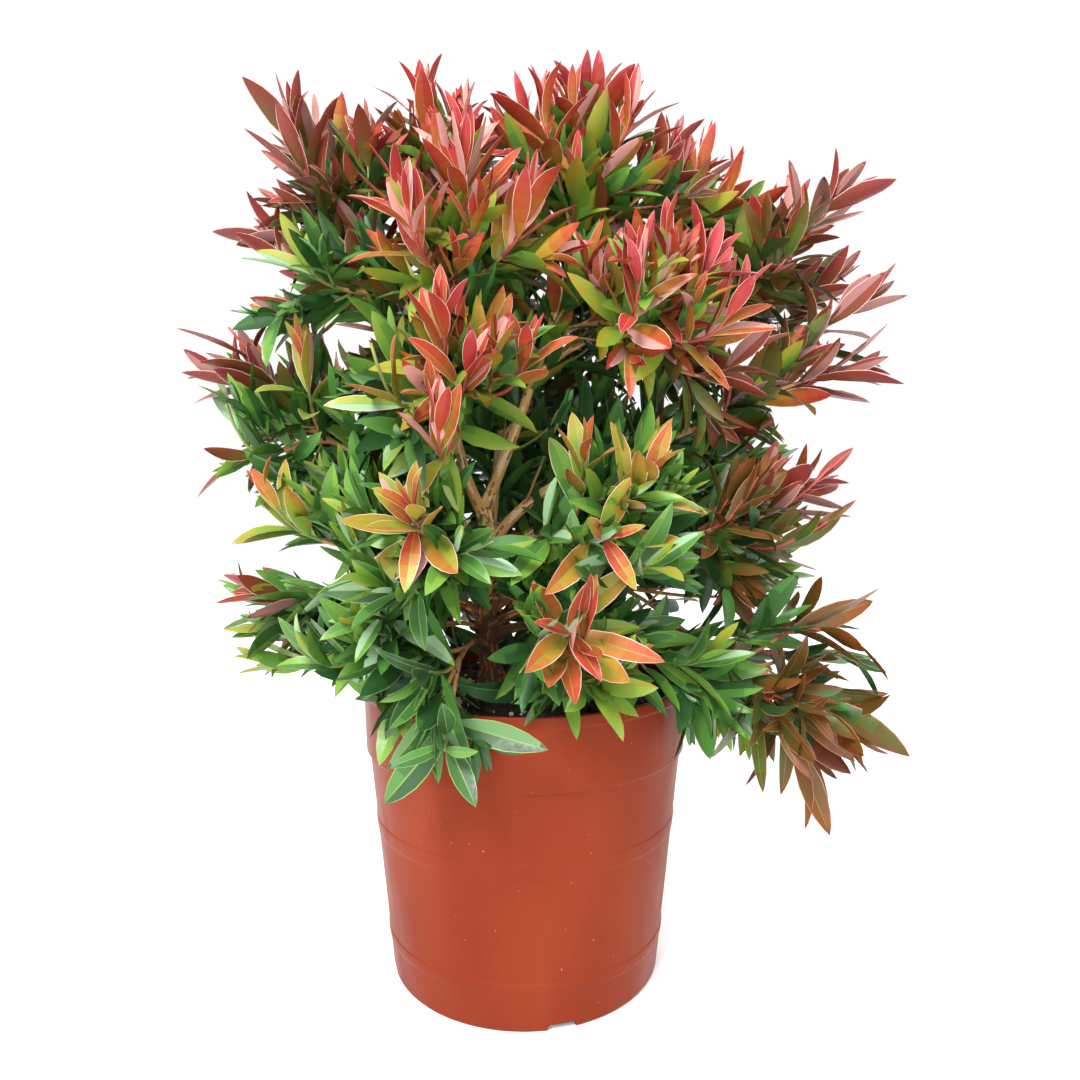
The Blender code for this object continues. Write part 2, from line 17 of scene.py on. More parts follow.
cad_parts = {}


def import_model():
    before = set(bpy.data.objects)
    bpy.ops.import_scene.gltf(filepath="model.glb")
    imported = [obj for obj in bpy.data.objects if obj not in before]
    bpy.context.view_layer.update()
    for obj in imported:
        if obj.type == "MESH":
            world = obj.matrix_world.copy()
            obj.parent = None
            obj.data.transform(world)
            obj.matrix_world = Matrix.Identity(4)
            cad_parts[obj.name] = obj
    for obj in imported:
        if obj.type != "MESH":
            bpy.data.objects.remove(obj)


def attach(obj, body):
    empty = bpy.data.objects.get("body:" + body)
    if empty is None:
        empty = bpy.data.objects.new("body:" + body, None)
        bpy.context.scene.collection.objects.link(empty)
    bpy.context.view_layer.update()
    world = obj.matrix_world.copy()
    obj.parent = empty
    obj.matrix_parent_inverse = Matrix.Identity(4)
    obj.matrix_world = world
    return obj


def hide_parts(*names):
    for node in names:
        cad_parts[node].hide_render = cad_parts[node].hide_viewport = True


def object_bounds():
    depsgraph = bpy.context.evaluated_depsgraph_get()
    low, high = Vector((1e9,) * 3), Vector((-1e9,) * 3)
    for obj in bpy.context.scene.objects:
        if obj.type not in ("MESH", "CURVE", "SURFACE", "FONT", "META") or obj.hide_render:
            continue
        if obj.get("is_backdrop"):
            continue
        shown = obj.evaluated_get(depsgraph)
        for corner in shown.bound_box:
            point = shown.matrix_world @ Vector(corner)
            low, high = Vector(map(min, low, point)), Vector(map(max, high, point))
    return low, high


CM = 0.01
MM = 0.001
UP = Vector((0, 0, 1))
GOLDEN_ANGLE = math.radians(137.508)

# The camera of the photograph
CAMERA_PLACE = Vector((0.88 * CM, -50 * CM, 29.2 * CM))
CAMERA_PITCH = math.radians(4.5)
CAMERA_LENS_MM = 28.17
SENSOR_MM = 36
PHOTO_SIDE = 1080

# The pot, as its solid
RIM_RADIUS = 9.5 * CM
POT_HEIGHT = 17.3 * CM
BAND_HEIGHT = 4.0 * CM
BAND_FOOT_RADIUS = 9.4 * CM
BODY_TOP_RADIUS = 9.2 * CM
FOOT_RADIUS = 7.95 * CM
WALL = 1.8 * MM
BEAD_HEIGHT = 6 * MM
BEAD_PROUD = 0.8 * MM
HOOPS = ((9.5 * CM, 8.7 * CM), (2.8 * CM, 2.2 * CM))
HOOP_PROUD = 0.5 * MM
FOOT_CHAMFER = 1.2 * MM
INSIDE = (
    (WALL, FOOT_RADIUS - WALL),
    (POT_HEIGHT - BAND_HEIGHT, BODY_TOP_RADIUS - WALL),
    (POT_HEIGHT, RIM_RADIUS - WALL),
)
NOTCH_COUNT = 4
NOTCH_AZIMUTH = math.radians(15)
NOTCH_SIZE = (16 * MM, 14 * MM, 8 * MM)
DRAIN_RADIUS = 5 * MM
DRAIN_CIRCLE = 4.6 * CM
POT_TURNS = 160

# The compost
COMPOST_TOP = 16.5 * CM
COMPOST_EDGE = 16.1 * CM
COMPOST_FLAT_RADIUS = 4.5 * CM

# The trunk and limbs, as their solids
TRUNK_FOOT = Vector((-1.8 * CM, -0.7 * CM, COMPOST_TOP))
TRUNK_FORK = Vector((-2.3 * CM, -1.0 * CM, 27.2 * CM))
TRUNK_RADIUS = 6.0 * MM
TRUNK_FORK_RADIUS = 4.6 * MM
ROOT_FLARE = 1.7
FLARE_HEIGHT = 1.6 * CM
# Up to about this height over the compost the bark is painted darker, as shade under the foliage
PAINTED_SHADE_FOOT = 4.8 * CM
TRUNK_SWAY = Vector((0.6 * CM, 0, 0))
BOUGH_SHARE = 0.74
BOUGH_RADIUS = 3.4 * MM
STEM_RADIUS = 1.5 * MM
TIP_RADIUS = 0.7 * MM
PATH_STEPS = 24

# Each mass: the limb that carries it and how far along, its leader's tip in cm, how steeply
# that rises, how far the other shoots spread from it in cm, their number, the tint of their
# leaves, how far the limb bows aside in cm, and whether it has a bough or only its stem
Mass = namedtuple(
    "Mass",
    "name carrier along tip rise spread shoots tint bow bough",
    defaults=((0, 0, 0), True),
)
MASSES = (
    Mass("top", "trunk", 1.00, (4.0, -2.0, 48.6), 1.0, 4.4, 7, "crimson", (2.6, -2.2, 0)),
    Mass("centre_front", "trunk", 0.94, (-2.8, -7.0, 44.2), 1.0, 4.4, 7, "crimson", (-3.0, -1, 0)),
    Mass("back_top", "trunk", 0.87, (-0.5, 8.0, 46.5), 0.8, 4.8, 6, "crimson", (0.5, 3.5, -1)),
    Mass("top_left", "centre_front", 0.36, (-11.4, -1.0, 47.2), 0.8, 4.0, 6, "bronze"),
    Mass("top_mid_left", "back_top", 0.46, (-5.6, 1.0, 49.3), 1.2, 3.8, 6, "crimson"),
    Mass("top_right", "top", 0.46, (10.2, 2.5, 46.6), 1.0, 4.2, 6, "crimson"),
    Mass("right_shoulder", "top", 0.32, (16.0, 1.0, 42.4), 0.8, 4.0, 6, "bronze"),
    Mass("right_upper", "trunk", 0.83, (15.0, -3.0, 35.2), 0.45, 4.0, 6, "bronze"),
    Mass("front_upper_right", "top", 0.40, (8.4, -9.4, 38.2), 0.9, 4.2, 7, "crimson"),
    Mass("front_upper", "centre_front", 0.28, (-3.4, -11.6, 35.4), 0.9, 4.2, 7, "amber"),
    Mass("left_upper", "top_left", 0.34, (-13.2, -1.5, 40.8), 0.6, 3.8, 6, "bronze"),
    Mass("left_mid", "trunk", 0.75, (-14.4, -3.0, 34.2), 0.4, 3.8, 6, "bronze"),
    Mass("left_low", "trunk", 0.52, (-11.4, -7.6, 26.4), 0.2, 3.8, 6, "olive"),
    Mass("front_left", "trunk", 0.66, (-4.4, -13.0, 27.0), 0.4, 3.8, 6, "amber"),
    Mass("low_left", "trunk", 0.34, (-14.0, -1.5, 21.4), 0.1, 3.8, 6, "green"),
    Mass("front_right", "trunk", 0.63, (5.4, -12.0, 28.6), 0.4, 4.0, 6, "olive"),
    Mass("right_mid", "trunk", 0.57, (13.8, -6.0, 27.6), 0.3, 4.0, 6, "bronze"),
    Mass("right_low", "trunk", 0.40, (13.6, 0.0, 22.2), 0.2, 3.8, 6, "bronze"),
    Mass("low_right", "trunk", 0.30, (15.2, -7.8, 17.6), -0.3, 3.6, 6, "bronze"),
    Mass("back_left_high", "back_top", 0.34, (-11.0, 10.0, 40.6), 0.8, 4.4, 6, "bronze"),
    Mass("back_right_high", "back_top", 0.28, (11.0, 10.5, 40.4), 0.8, 4.4, 6, "bronze"),
    Mass("back_mid", "trunk", 0.79, (-0.5, 14.8, 35.6), 0.6, 4.4, 6, "olive", (-1, 1, -2)),
    Mass("back_left", "trunk", 0.58, (-13.0, 8.2, 29.6), 0.3, 4.2, 6, "olive"),
    Mass("back_right", "trunk", 0.48, (12.8, 9.4, 30.4), 0.3, 4.2, 6, "olive"),
    Mass("low_front", "trunk", 0.43, (2.6, -12.6, 21.6), 0.2, 3.8, 6, "amber", bough=False),
    Mass("low_front_left", "trunk", 0.26, (-9.4, -8.6, 19.6), 0.1, 3.8, 6, "green", bough=False),
    Mass("pot_spray", "trunk", 0.15, (-3.8, -12.2, 18.6), -0.3, 3.4, 6, "green", bough=False),
    Mass("low_front_right", "trunk", 0.20, (8.2, -9.0, 19.8), 0.0, 3.8, 6, "green", bough=False),
    Mass("back_low_left", "trunk", 0.28, (-7.0, 12.0, 22.6), 0.2, 4.2, 6, "green", bough=False),
    Mass("back_low_right", "trunk", 0.22, (7.4, 12.4, 22.4), 0.2, 4.2, 6, "green", bough=False),
    Mass("heart_left", "trunk", 0.46, (-8.6, 1.0, 30.0), 0.8, 4.0, 7, "green", bough=False),
    Mass("heart_right", "trunk", 0.71, (7.2, 3.2, 32.0), 0.8, 4.0, 7, "green", (1, 0, -1), False),
    Mass("heart_back", "trunk", 0.64, (1.6, 7.0, 30.0), 0.8, 4.2, 6, "green", (0, 1, -1), False),
)
TRUNK = "trunk"

# Leaf colours as they show in even daylight, 0 to 255
LEAF_COLOURS = {
    "forest": (40, 78, 36),
    "green": (72, 122, 50),
    "fresh": (112, 154, 54),
    "lime": (148, 152, 46),
    "ochre": (168, 130, 46),
    "amber": (170, 98, 42),
    "orange": (174, 76, 42),
    "scarlet": (172, 58, 44),
    "crimson": (166, 50, 54),
    "rose": (186, 78, 80),
    "olive": (98, 108, 46),
    "umber": (102, 82, 38),
    "russet": (122, 66, 38),
    "bronze": (136, 58, 44),
    "maroon": (134, 54, 54),
    "mauve": (138, 66, 62),
    "moss": (76, 88, 30),
    "peat": (92, 68, 26),
    "sienna": (118, 66, 24),
    "chestnut": (104, 46, 30),
    "rim_pink": (236, 190, 176),
    "rim_tan": (170, 118, 88),
    "rim_green": (128, 160, 84),
    "vein_pink": (200, 110, 92),
    "vein_lime": (122, 146, 70),
    "vein_olive": (128, 106, 58),
    # The silk colours: pale silky hairs of young leaves, lightened further as a painted sheen
    "silk_rose": (206, 146, 138),
    "silk_bronze": (160, 112, 106),
    "silk_green": (142, 176, 136),
    "silk_deep": (98, 136, 86),
}
# The leaves' runs of colour, from old to young
RUNS = {
    "fire": (
        "forest", "green", "fresh", "lime", "ochre", "amber", "orange", "scarlet", "crimson",
        "rose",
    ),
    "earth": ("forest", "olive", "umber", "russet", "bronze", "maroon", "mauve"),
    "rust": ("forest", "moss", "peat", "sienna", "chestnut"),
}

# Each tint: its run of colours, then for four ages, youngest first, where on that run a
# leaf's foot and its tip lie, then its rim and vein, and the pale hue of some young leaves,
# their silky hairs with a painted sheen, with the share of them that have it
Tint = namedtuple("Tint", "run ages rim vein silk silky")
TINTS = {
    "crimson": Tint(
        "fire", ((6.2, 8.6), (4.6, 8.0), (3.0, 7.0), (1.2, 3.0)),
        "rim_pink", "vein_pink", "silk_rose", 0.24,
    ),
    "bronze": Tint(
        "earth", ((3.2, 5.8), (2.2, 5.2), (1.4, 4.6), (0.4, 2.0)),
        "rim_pink", "vein_pink", "silk_bronze", 0.34,
    ),
    "amber": Tint(
        "fire", ((5.6, 7.8), (3.8, 6.8), (2.6, 5.6), (1, 2.2)),
        "rim_pink", "vein_lime", "silk_rose", 0.16,
    ),
    "olive": Tint(
        "fire", ((3.4, 6.2), (2.0, 4.4), (1.2, 2.4), (0.6, 1.2)),
        "rim_pink", "vein_lime", "silk_green", 0.16,
    ),
    "green": Tint(
        "fire", ((1.8, 2.8), (1.0, 1.8), (0.8, 1.3), (0.2, 1)),
        "rim_green", "vein_lime", "silk_green", 0.22,
    ),
    "lime": Tint(
        "fire", ((7.6, 2.6), (2.2, 3.8), (2.0, 3.2), (0.8, 1.4)),
        "rim_pink", "vein_lime", "silk_rose", 0.10,
    ),
    "deep": Tint(
        "fire", ((0.3, 0.8), (0.2, 0.6), (0.1, 0.5), (0, 0.3)),
        "rim_green", "vein_lime", "silk_deep", 0.10,
    ),
    "tawny": Tint(
        "rust", ((1.6, 3.4), (1.2, 2.8), (0.8, 2.4), (0.2, 1.0)),
        "rim_tan", "vein_olive", "silk_bronze", 0.0,
    ),
    "silver": Tint(
        "fire", ((1.8, 2.8), (1.0, 1.8), (0.8, 1.3), (0.4, 1.2)),
        "rim_green", "vein_lime", "silk_green", 0.50,
    ),
}
AGE_STARTS = (0, 3, 7, 10)
OLD = len(AGE_STARTS) - 1
TINT_SCATTER = 0.45
# How far a leaf's two halves differ in tone, partly real and partly painted sheen on the half that catches the
# light, and how often a leaf's silky hairs and painted sheen cover both halves
HALF_SCATTER = 0.30
BOTH_SILKY_SHEEN = 0.2

# The tints of a mass's shoots, its leader first, by the mass's own tint or by its name
SHOOT_TINTS = {
    "crimson": ("crimson", "crimson", "amber", "crimson", "crimson", "bronze", "crimson"),
    "bronze": ("bronze", "crimson", "bronze", "bronze", "olive", "bronze"),
    "amber": ("amber", "crimson", "amber", "olive", "amber", "green", "amber"),
    "olive": ("amber", "olive", "green", "deep", "olive", "green"),
    "green": ("green", "olive", "deep", "green", "green", "deep", "green"),
    "front_left": ("lime", "green", "green", "green", "olive", "green"),
    "front_right": ("lime", "green", "olive", "green", "green", "green"),
    "low_front": ("amber", "green", "green", "green", "green", "green"),
    "low_right": ("tawny", "tawny", "deep", "tawny", "deep", "tawny"),
    "right_low": ("tawny", "bronze", "deep", "tawny", "deep", "green"),
    "right_mid": ("bronze", "tawny", "olive", "tawny", "green", "green"),
    "right_shoulder": ("bronze", "crimson", "bronze", "bronze", "tawny", "bronze"),
    "right_upper": ("bronze", "crimson", "bronze", "bronze", "tawny", "bronze"),
    "left_upper": ("bronze", "amber", "silver", "bronze", "green", "silver"),
    "left_mid": ("bronze", "silver", "silver", "lime", "olive", "silver"),
    "left_low": ("olive", "silver", "amber", "green", "silver", "green"),
    "low_left": ("silver", "bronze", "green", "silver", "green", "deep"),
    "pot_spray": ("deep", "deep", "deep", "deep", "deep", "deep"),
    "low_front_left": ("green", "green", "deep", "silver", "green", "deep"),
    "low_front_right": ("green", "deep", "silver", "green", "deep", "green"),
}

# Leaves
LEAF_LENGTH = 3.8 * CM
LEAF_ASPECT = 0.268
TUFT_LEAVES = 16
TWIG_LEAVES = 9
SPRIG_LEAVES = 12
BOUGH_LEAF_STEP = 0.50 * CM
SPRIG_STEP = 1.7 * CM
FINE_LEAVES = 11
# The first leaves of a side twig are as old as this many from the tip of a shoot
TWIG_AGES = {"crimson": 5, "bronze": 5, "tawny": 5, "amber": 5}
LATE_TWIG_AGE = 8
# Above this height the sprigs of a bough are young too
YOUNG_HEIGHT = 43 * CM
# How the shoots of a mass grow on: how far they turn up to the light, or down where they
# hang, between what lengths in cm they grow, how many leaves their tips have, how large
# these are, and how many side twigs they have
Habit = namedtuple(
    "Habit", "lift growths leaves vigour twigs", defaults=((0.6, 2.6), TUFT_LEAVES, 1, 3)
)
LIFT = 0.22
HABITS = {
    "top": Habit(LIFT, (0.8, 3.0)),
    "top_left": Habit(LIFT, (0.8, 2.6)),
    "top_mid_left": Habit(LIFT, (0.6, 2.4)),
    "right_shoulder": Habit(0.08, (0.6, 2.4)),
    "right_upper": Habit(0.15, (0.8, 2.6)),
    "right_mid": Habit(0.12, (1.0, 3.0)),
    "left_upper": Habit(LIFT, (0.2, 1.4)),
    "left_mid": Habit(0.45, (1.2, 3.2)),
    "low_left": Habit(0.10, (1.4, 3.0)),
    "pot_spray": Habit(-0.5, (0.2, 1.0), 8, 1, 1),
    "low_right": Habit(-0.15, (1.0, 2.8), 7, 1.35, 1),
    "low_front": Habit(LIFT, (0.6, 2.0), 14, 1.15),
    "front_left": Habit(0.05, (0.2, 1.2), 14),
    "front_right": Habit(0.05, (0.2, 1.2), 14),
}
# Sprays that stand out of a mass: where their tips lie in cm, which way these point, their
# tint, how many leaves they have, how large these are and how far the first ones open
Spray = namedtuple("Spray", "mass tip way tint leaves vigour opening", defaults=(13, 1.1, 10))
SPRAYS = (
    Spray("top", (3.4, -2.0, 49.8), (0, 0, 1), "crimson"),
    Spray("top", (0.2, -2.6, 48.2), (-0.2, 0, 1), "crimson"),
    Spray("right_shoulder", (17.4, -2.0, 44.6), (0.7, -0.1, 0.7), "bronze"),
    Spray("right_shoulder", (16.0, 2.0, 44.8), (0.4, 0.1, 0.9), "crimson"),
    Spray("right_upper", (18.6, -3.0, 38.6), (0.85, -0.1, 0.45), "bronze"),
    Spray("right_upper", (17.6, -4.0, 34.8), (0.9, -0.2, 0.2), "bronze"),
    Spray("right_mid", (14.8, -5.5, 28.6), (0.85, -0.1, 0.25), "bronze", 11, 1.0),
    Spray("top_left", (-12.8, -1.5, 48.9), (-0.1, -0.1, 1.0), "bronze"),
    Spray("top_mid_left", (-5.8, 0.0, 50.2), (0, -0.1, 1.0), "crimson"),
    Spray("left_mid", (-16.4, -3.5, 34.4), (-0.95, -0.1, 0.25), "bronze"),
    Spray("left_mid", (-15.8, -4.0, 37.0), (-0.6, -0.2, 0.75), "bronze"),
    Spray("left_mid", (-16.4, -4.0, 30.0), (-0.95, -0.2, 0.05), "bronze", 8, 0.9),
    Spray("left_upper", (-12.2, -3.0, 37.8), (-0.6, -0.1, 0.7), "bronze", 7, 1.0, 20),
    Spray("low_left", (-14.0, -5.0, 23.0), (-0.8, -0.1, 0.45), "bronze", 11, 1.0),
    Spray("low_left", (-14.4, -3.0, 20.6), (-0.9, -0.2, -0.1), "green"),
    Spray("low_left", (-13.0, -4.5, 22.6), (-0.8, -0.4, 0.2), "silver"),
    Spray("right_low", (15.0, -5.0, 21.6), (0.6, -0.1, 0.8), "tawny", 11, 1.15),
    Spray("low_right", (13.7, -8.6, 15.4), (0.3, -0.1, -0.95), "tawny", 2, 1.9, 3),
    Spray("low_right", (16.2, -7.8, 16.8), (0.85, -0.1, -0.1), "tawny", 8, 1.15, 20),
    Spray("low_right", (13.6, -9.4, 17.4), (0.1, -0.9, 0.2), "tawny", 9, 1.2, 40),
    Spray("low_right", (12.6, -9.0, 18.6), (0.1, -0.3, 0.95), "tawny", 9, 1.1, 25),
    Spray("low_front_right", (8.7, -6.3, 17.0), (0.0, -0.2, -0.97), "deep", 7, 1.2),
    Spray("low_front_right", (11.4, -6.4, 16.8), (0.15, -0.2, -0.95), "green", 8, 1.15),
    Spray("low_front_right", (9.6, -8.0, 17.6), (0.1, -0.3, -0.9), "green", 9, 1.15),
    Spray("pot_spray", (-3.4, -12.9, 16.8), (0, -0.95, -0.3), "deep", 13, 1.35, 50),
    Spray("front_left", (-4.7, -13.2, 27.0), (0, -0.95, 0.2), "lime", 12, 1.2, 38),
    Spray("front_left", (-1.8, -9.5, 26.4), (0, -0.2, -0.98), "green", 1, 2.0),
    Spray("front_right", (3.8, -12.8, 26.4), (0.1, -0.95, 0.2), "lime", 12, 1.15, 34),
    Spray("low_front", (2.2, -13.4, 22.2), (0, -0.95, 0.2), "amber", 12, 1.25, 34),
    Spray("low_front_left", (-6.8, -10.6, 22.6), (-0.2, -0.9, 0.3), "silver", 13, 1.15, 34),
    Spray("back_low_left", (-3.0, 8.0, 19.6), (0, 1, 0.2), "deep", 14, 1.1),
    Spray("back_low_left", (-5.4, 6.6, 18.8), (0, 1, 0.1), "deep", 12, 1.0),
    Spray("back_low_left", (-4.6, 4.2, 18.2), (-0.1, 0.6, 0.1), "deep", 12, 1.0),
    Spray("back_low_left", (-2.2, 4.6, 18.2), (0.2, 0.6, 0.1), "deep", 12, 1.0),
    Spray("back_low_right", (1.4, 8.0, 19.8), (0, 1, 0.2), "deep", 14, 1.1),
)
# The gaps in the foliage, in the photograph's pixels: the middle of each, its reach, between
# which depths leaves are thinned there, and what share of them goes
Gap = namedtuple("Gap", "middle reach depths share", defaults=((-1, 1), 0.95))
GAPS = (
    Gap((507, 466), (50, 76), (-17 * CM, -1.6 * CM), 0.92),  # before the fork
    Gap((489, 652), (34, 42), (-20 * CM, -4 * CM), 0.92),  # before the compost
    Gap((198, 275), (86, 33)),
    Gap((240, 166), (40, 20)),
    Gap((242, 288), (26, 16)),
    Gap((274, 354), (18, 12)),
    Gap((212, 428), (26, 16)),
    Gap((345, 330), (26, 20)),
    Gap((186, 430), (54, 38)),
    Gap((300, 716), (62, 40)),
    Gap((330, 724), (44, 30)),
    Gap((830, 550), (30, 18)),
    Gap((834, 428), (38, 18)),
    Gap((904, 630), (34, 38), share=1),
    Gap((452, 605), (22, 12)),
    Gap((742, 343), (18, 16)),
    Gap((642, 598), (50, 19), share=0.6),
    Gap((706, 620), (56, 19), share=0.5),
    Gap((306, 563), (42, 20)),
)
FINE_STATIONS = (
    (0, 0.12), (0.09, 0.36), (0.25, 0.76), (0.44, 0.99), (0.62, 0.96), (0.79, 0.71), (0.92, 0.35)
)
FINE_COLUMNS = ((-1, -0.93, -0.05, 0.05, 0.93, 1), (-1, -0.93, 0, 0.93, 1))
PLAIN_STATIONS = ((0, 0.14), (0.16, 0.58), (0.41, 0.98), (0.66, 0.90), (0.87, 0.48))
PLAIN_COLUMNS = ((-1, 0, 1), (-1, 0, 1))
KEEL_DEPTH = 0.45 * MM
BLADE_SWELL = 0.3 * MM
ALBEDO = 0.74
PIECE_TRIANGLES = 190_000
REACH_ALLOWANCE = 6 * MM


def linear(value):
    value /= 255
    return value / 12.92 if value <= 0.04045 else ((value + 0.055) / 1.055) ** 2.4


def leaf_shades():
    """Every colour of the leaves by name: the runs, with one more between each two, and the rest."""
    shades = {}
    for run, names in RUNS.items():
        colours = [LEAF_COLOURS[name] for name in names]
        steps = [colours[0]]
        for before, after in zip(colours, colours[1:]):
            steps += [tuple((a + b) / 2 for a, b in zip(before, after)), after]
        shades.update({f"{run}_{index}": colour for index, colour in enumerate(steps)})
    in_runs = {name for names in RUNS.values() for name in names}
    shades.update({name: LEAF_COLOURS[name] for name in LEAF_COLOURS if name not in in_runs})
    return shades


def linear_colour(colour):
    """A colour as it shows in the stage's light, as the albedo that gives it."""
    return (*(linear(value) * ALBEDO for value in colour), 1)


# ---- growth: the rule of the solids ----


def bezier(start, first, second, end):
    """PATH_STEPS + 1 points along a cubic curve."""
    points = []
    for step in range(PATH_STEPS + 1):
        t = step / PATH_STEPS
        u = 1 - t
        points.append(
            u**3 * start + 3 * u * u * t * first + 3 * u * t * t * second + t**3 * end
        )
    return points


def point_at(path, share):
    """The point this share of the way along a path, by its steps."""
    place = max(0.0, min(1.0, share)) * (len(path) - 1)
    index = min(int(place), len(path) - 2)
    return path[index].lerp(path[index + 1], place - index)


def heading_at(path, share):
    step = 0.5 / (len(path) - 1)
    return (point_at(path, share + step) - point_at(path, share - step)).normalized()


def length_of(path):
    return sum((second - first).length for first, second in zip(path, path[1:]))


def part_of(path, first, last, steps=PATH_STEPS):
    return [point_at(path, first + (last - first) * i / steps) for i in range(steps + 1)]


class Limb:
    """A path with a radius at each share of it."""

    def __init__(self, path, foot_radius, tip_radius):
        self.path = path
        self.foot_radius = foot_radius
        self.tip_radius = tip_radius

    def radius(self, share):
        return self.foot_radius + (self.tip_radius - self.foot_radius) * share


class Trunk(Limb):
    """The limb that stands in the compost, with its root flare."""

    def radius(self, share):
        height = share * (TRUNK_FORK.z - TRUNK_FOOT.z)
        flare = 1 + (ROOT_FLARE - 1) * max(0.0, 1 - height / FLARE_HEIGHT) ** 2
        return super().radius(share) * flare


def trunk_limb():
    middle = TRUNK_FOOT.lerp(TRUNK_FORK, 0.5)
    path = bezier(TRUNK_FOOT, middle - TRUNK_SWAY * 1.4, middle + TRUNK_SWAY, TRUNK_FORK)
    return Trunk(path, TRUNK_RADIUS, TRUNK_FORK_RADIUS)


def limb_for(mass, carrier):
    """The limb of one mass: out of its carrier, then bending to rise at its tip."""
    start = point_at(carrier.path, mass.along)
    tip = Vector(mass.tip) * CM
    way = tip - start
    out = way.normalized()
    leaving = (out * 1.3 + heading_at(carrier.path, mass.along) + UP * 0.15).normalized()
    arriving = (out + UP * mass.rise).normalized()
    first = start + leaving * way.length * 0.36 + Vector(mass.bow) * CM
    second = tip - arriving * way.length * 0.34
    foot_radius = min(carrier.radius(mass.along) * BOUGH_SHARE, BOUGH_RADIUS)
    return Limb(bezier(start, first, second, tip), foot_radius, TIP_RADIUS)


def lay_out_limbs():
    limbs = {TRUNK: trunk_limb()}
    for mass in MASSES:
        limbs[mass.name] = limb_for(mass, limbs[mass.carrier])
    return limbs


def entry_of(path, centre, others):
    """The share of a path from which it is nearer to its own mass's centre than to others."""
    outside = [
        index
        for index, point in enumerate(path)
        if index < 2 or any((point - other).length < (point - centre).length for other in others)
    ]
    return (max(outside) + 1) / (len(path) - 1)


def side_shoots(mass, path, entry, generator):
    """The paths of a mass's other shoots. Their tips lie on a dome round the leader's."""
    tip = path[-1]
    arriving = heading_at(path, 1.0)
    side = arriving.orthogonal().normalized()
    other_side = arriving.cross(side)
    first_angle = generator.uniform(0, math.tau)
    shoots = []
    for index in range(1, mass.shoots):
        angle = first_angle + index * GOLDEN_ANGLE
        far = math.sqrt(index / (mass.shoots - 1))
        out = side * math.cos(angle) + other_side * math.sin(angle)
        sunk = mass.spread * far * far * 0.5 + generator.uniform(0.2, 1.6)
        end = tip + (out * mass.spread * far - arriving * sunk) * CM
        leaves_at = entry + (1 - entry) * (0.62 - 0.5 * far)
        start = point_at(path, leaves_at)
        final = (arriving + out * 0.55 + UP * 0.2).normalized()
        length = (end - start).length
        first = start + heading_at(path, leaves_at) * length * 0.3
        shoots.append(bezier(start, first, end - final * length * 0.35, end))
    return shoots


# ---- growth: the finer twigs ----


def twig_off(path, share, angle, lean, length, lift):
    """A short twig that leaves a path at an angle round it and then bends up."""
    start = point_at(path, share)
    heading = heading_at(path, share)
    side = heading.orthogonal().normalized()
    out = side * math.cos(angle) + heading.cross(side) * math.sin(angle)
    leaving = heading * math.cos(lean) + out * math.sin(lean)
    final = (leaving + heading * 0.4 + UP * lift).normalized()
    end = start + (leaving * 0.55 + final * 0.45) * length
    return bezier(start, start + leaving * length * 0.35, end - final * length * 0.35, end)


def clear_of_pot(point, margin):
    out = math.hypot(point.x, point.y)
    if point.z > POT_HEIGHT + margin:
        return True
    if point.z > COMPOST_TOP + margin and out < float(inner_radius(point.z)) - margin:
        return True
    return out > RIM_RADIUS + BEAD_PROUD + margin


def twigs_of(path, count, generator, lengths, shares, lift=0.35):
    """Twigs set round a path by the golden angle."""
    twigs = []
    angle = generator.uniform(0, math.tau)
    for index in range(count):
        share = shares[0] + (shares[1] - shares[0]) * (index + generator.uniform(0.2, 0.8)) / count
        lean = math.radians(generator.uniform(38, 62))
        length = generator.uniform(*lengths) * CM
        twig = twig_off(path, share, angle, lean, length, lift)
        angle += GOLDEN_ANGLE
        if all(clear_of_pot(point, 4 * MM) for point in twig[6:]):
            twigs.append(twig)
    return twigs


# ---- leaves ----


class LeafForm:
    """The shape that leaves share: rows of points across it, its faces and what each is."""

    def __init__(self, stations, over, under):
        points = []
        for place, width in stations:
            points += [(place, column * width, 0, 1 - column * column) for column in over]
            points += [
                (place, column * width, (1 - abs(column)) * (1 - 0.6 * place), 0)
                for column in under[1:-1]
            ]
        points.append((1, 0, 0, 0))
        across, row = len(over), len(over) + len(under) - 2
        below = [0, *range(across, row), across - 1]
        self.zones = len(stations)
        self.faces, self.keys = [], []
        for r in range(self.zones):
            tip = self.zones * row if r == self.zones - 1 else None
            for side, columns in ((over, list(range(across))), (under, below)):
                for c in range(len(side) - 1):
                    near = r * row + columns[c], r * row + columns[c + 1]
                    far = near[0] + row, near[1] + row
                    left = side[c] + side[c + 1] < 0
                    self.strip(near, far, tip, left, side is under, self.key(side, c, r))
        self.add((*range(across - 1, -1, -1), *range(across, row)), 0)
        self.along, self.across, self.under, self.swell = np.array(points).T
        self.corners = np.concatenate([np.array(face) for face in self.faces])
        self.sides = np.array([len(face) for face in self.faces])
        self.keys = np.array(self.keys)
        self.triangles = int((self.sides - 2).sum())

    def key(self, side, column, row):
        """Which of a leaf's colours a strip takes: its rim, its vein, or its half's zone."""
        if len(side) > 4 and column in (0, len(side) - 2):
            return 2 * self.zones + 1
        if len(side) > 5 and column == len(side) // 2 - 1:
            return 2 * self.zones
        return row + (self.zones if side[column] + side[column + 1] > 0 else 0)

    def strip(self, near, far, tip, left, under, key):
        """Two triangles, split from the outer near corner inwards, or one at the leaf's tip."""
        if tip is not None:
            faces = [(near[0], near[1], tip)]
        elif left:
            faces = [(near[0], near[1], far[1]), (near[0], far[1], far[0])]
        else:
            faces = [(near[0], near[1], far[0]), (near[1], far[1], far[0])]
        for face in faces:
            self.add(face[::-1] if under else face, key)

    def add(self, face, key):
        self.faces.append(face)
        self.keys.append(key)


Leaf = namedtuple("Leaf", "root along normal length width fold bend twist wave colours")


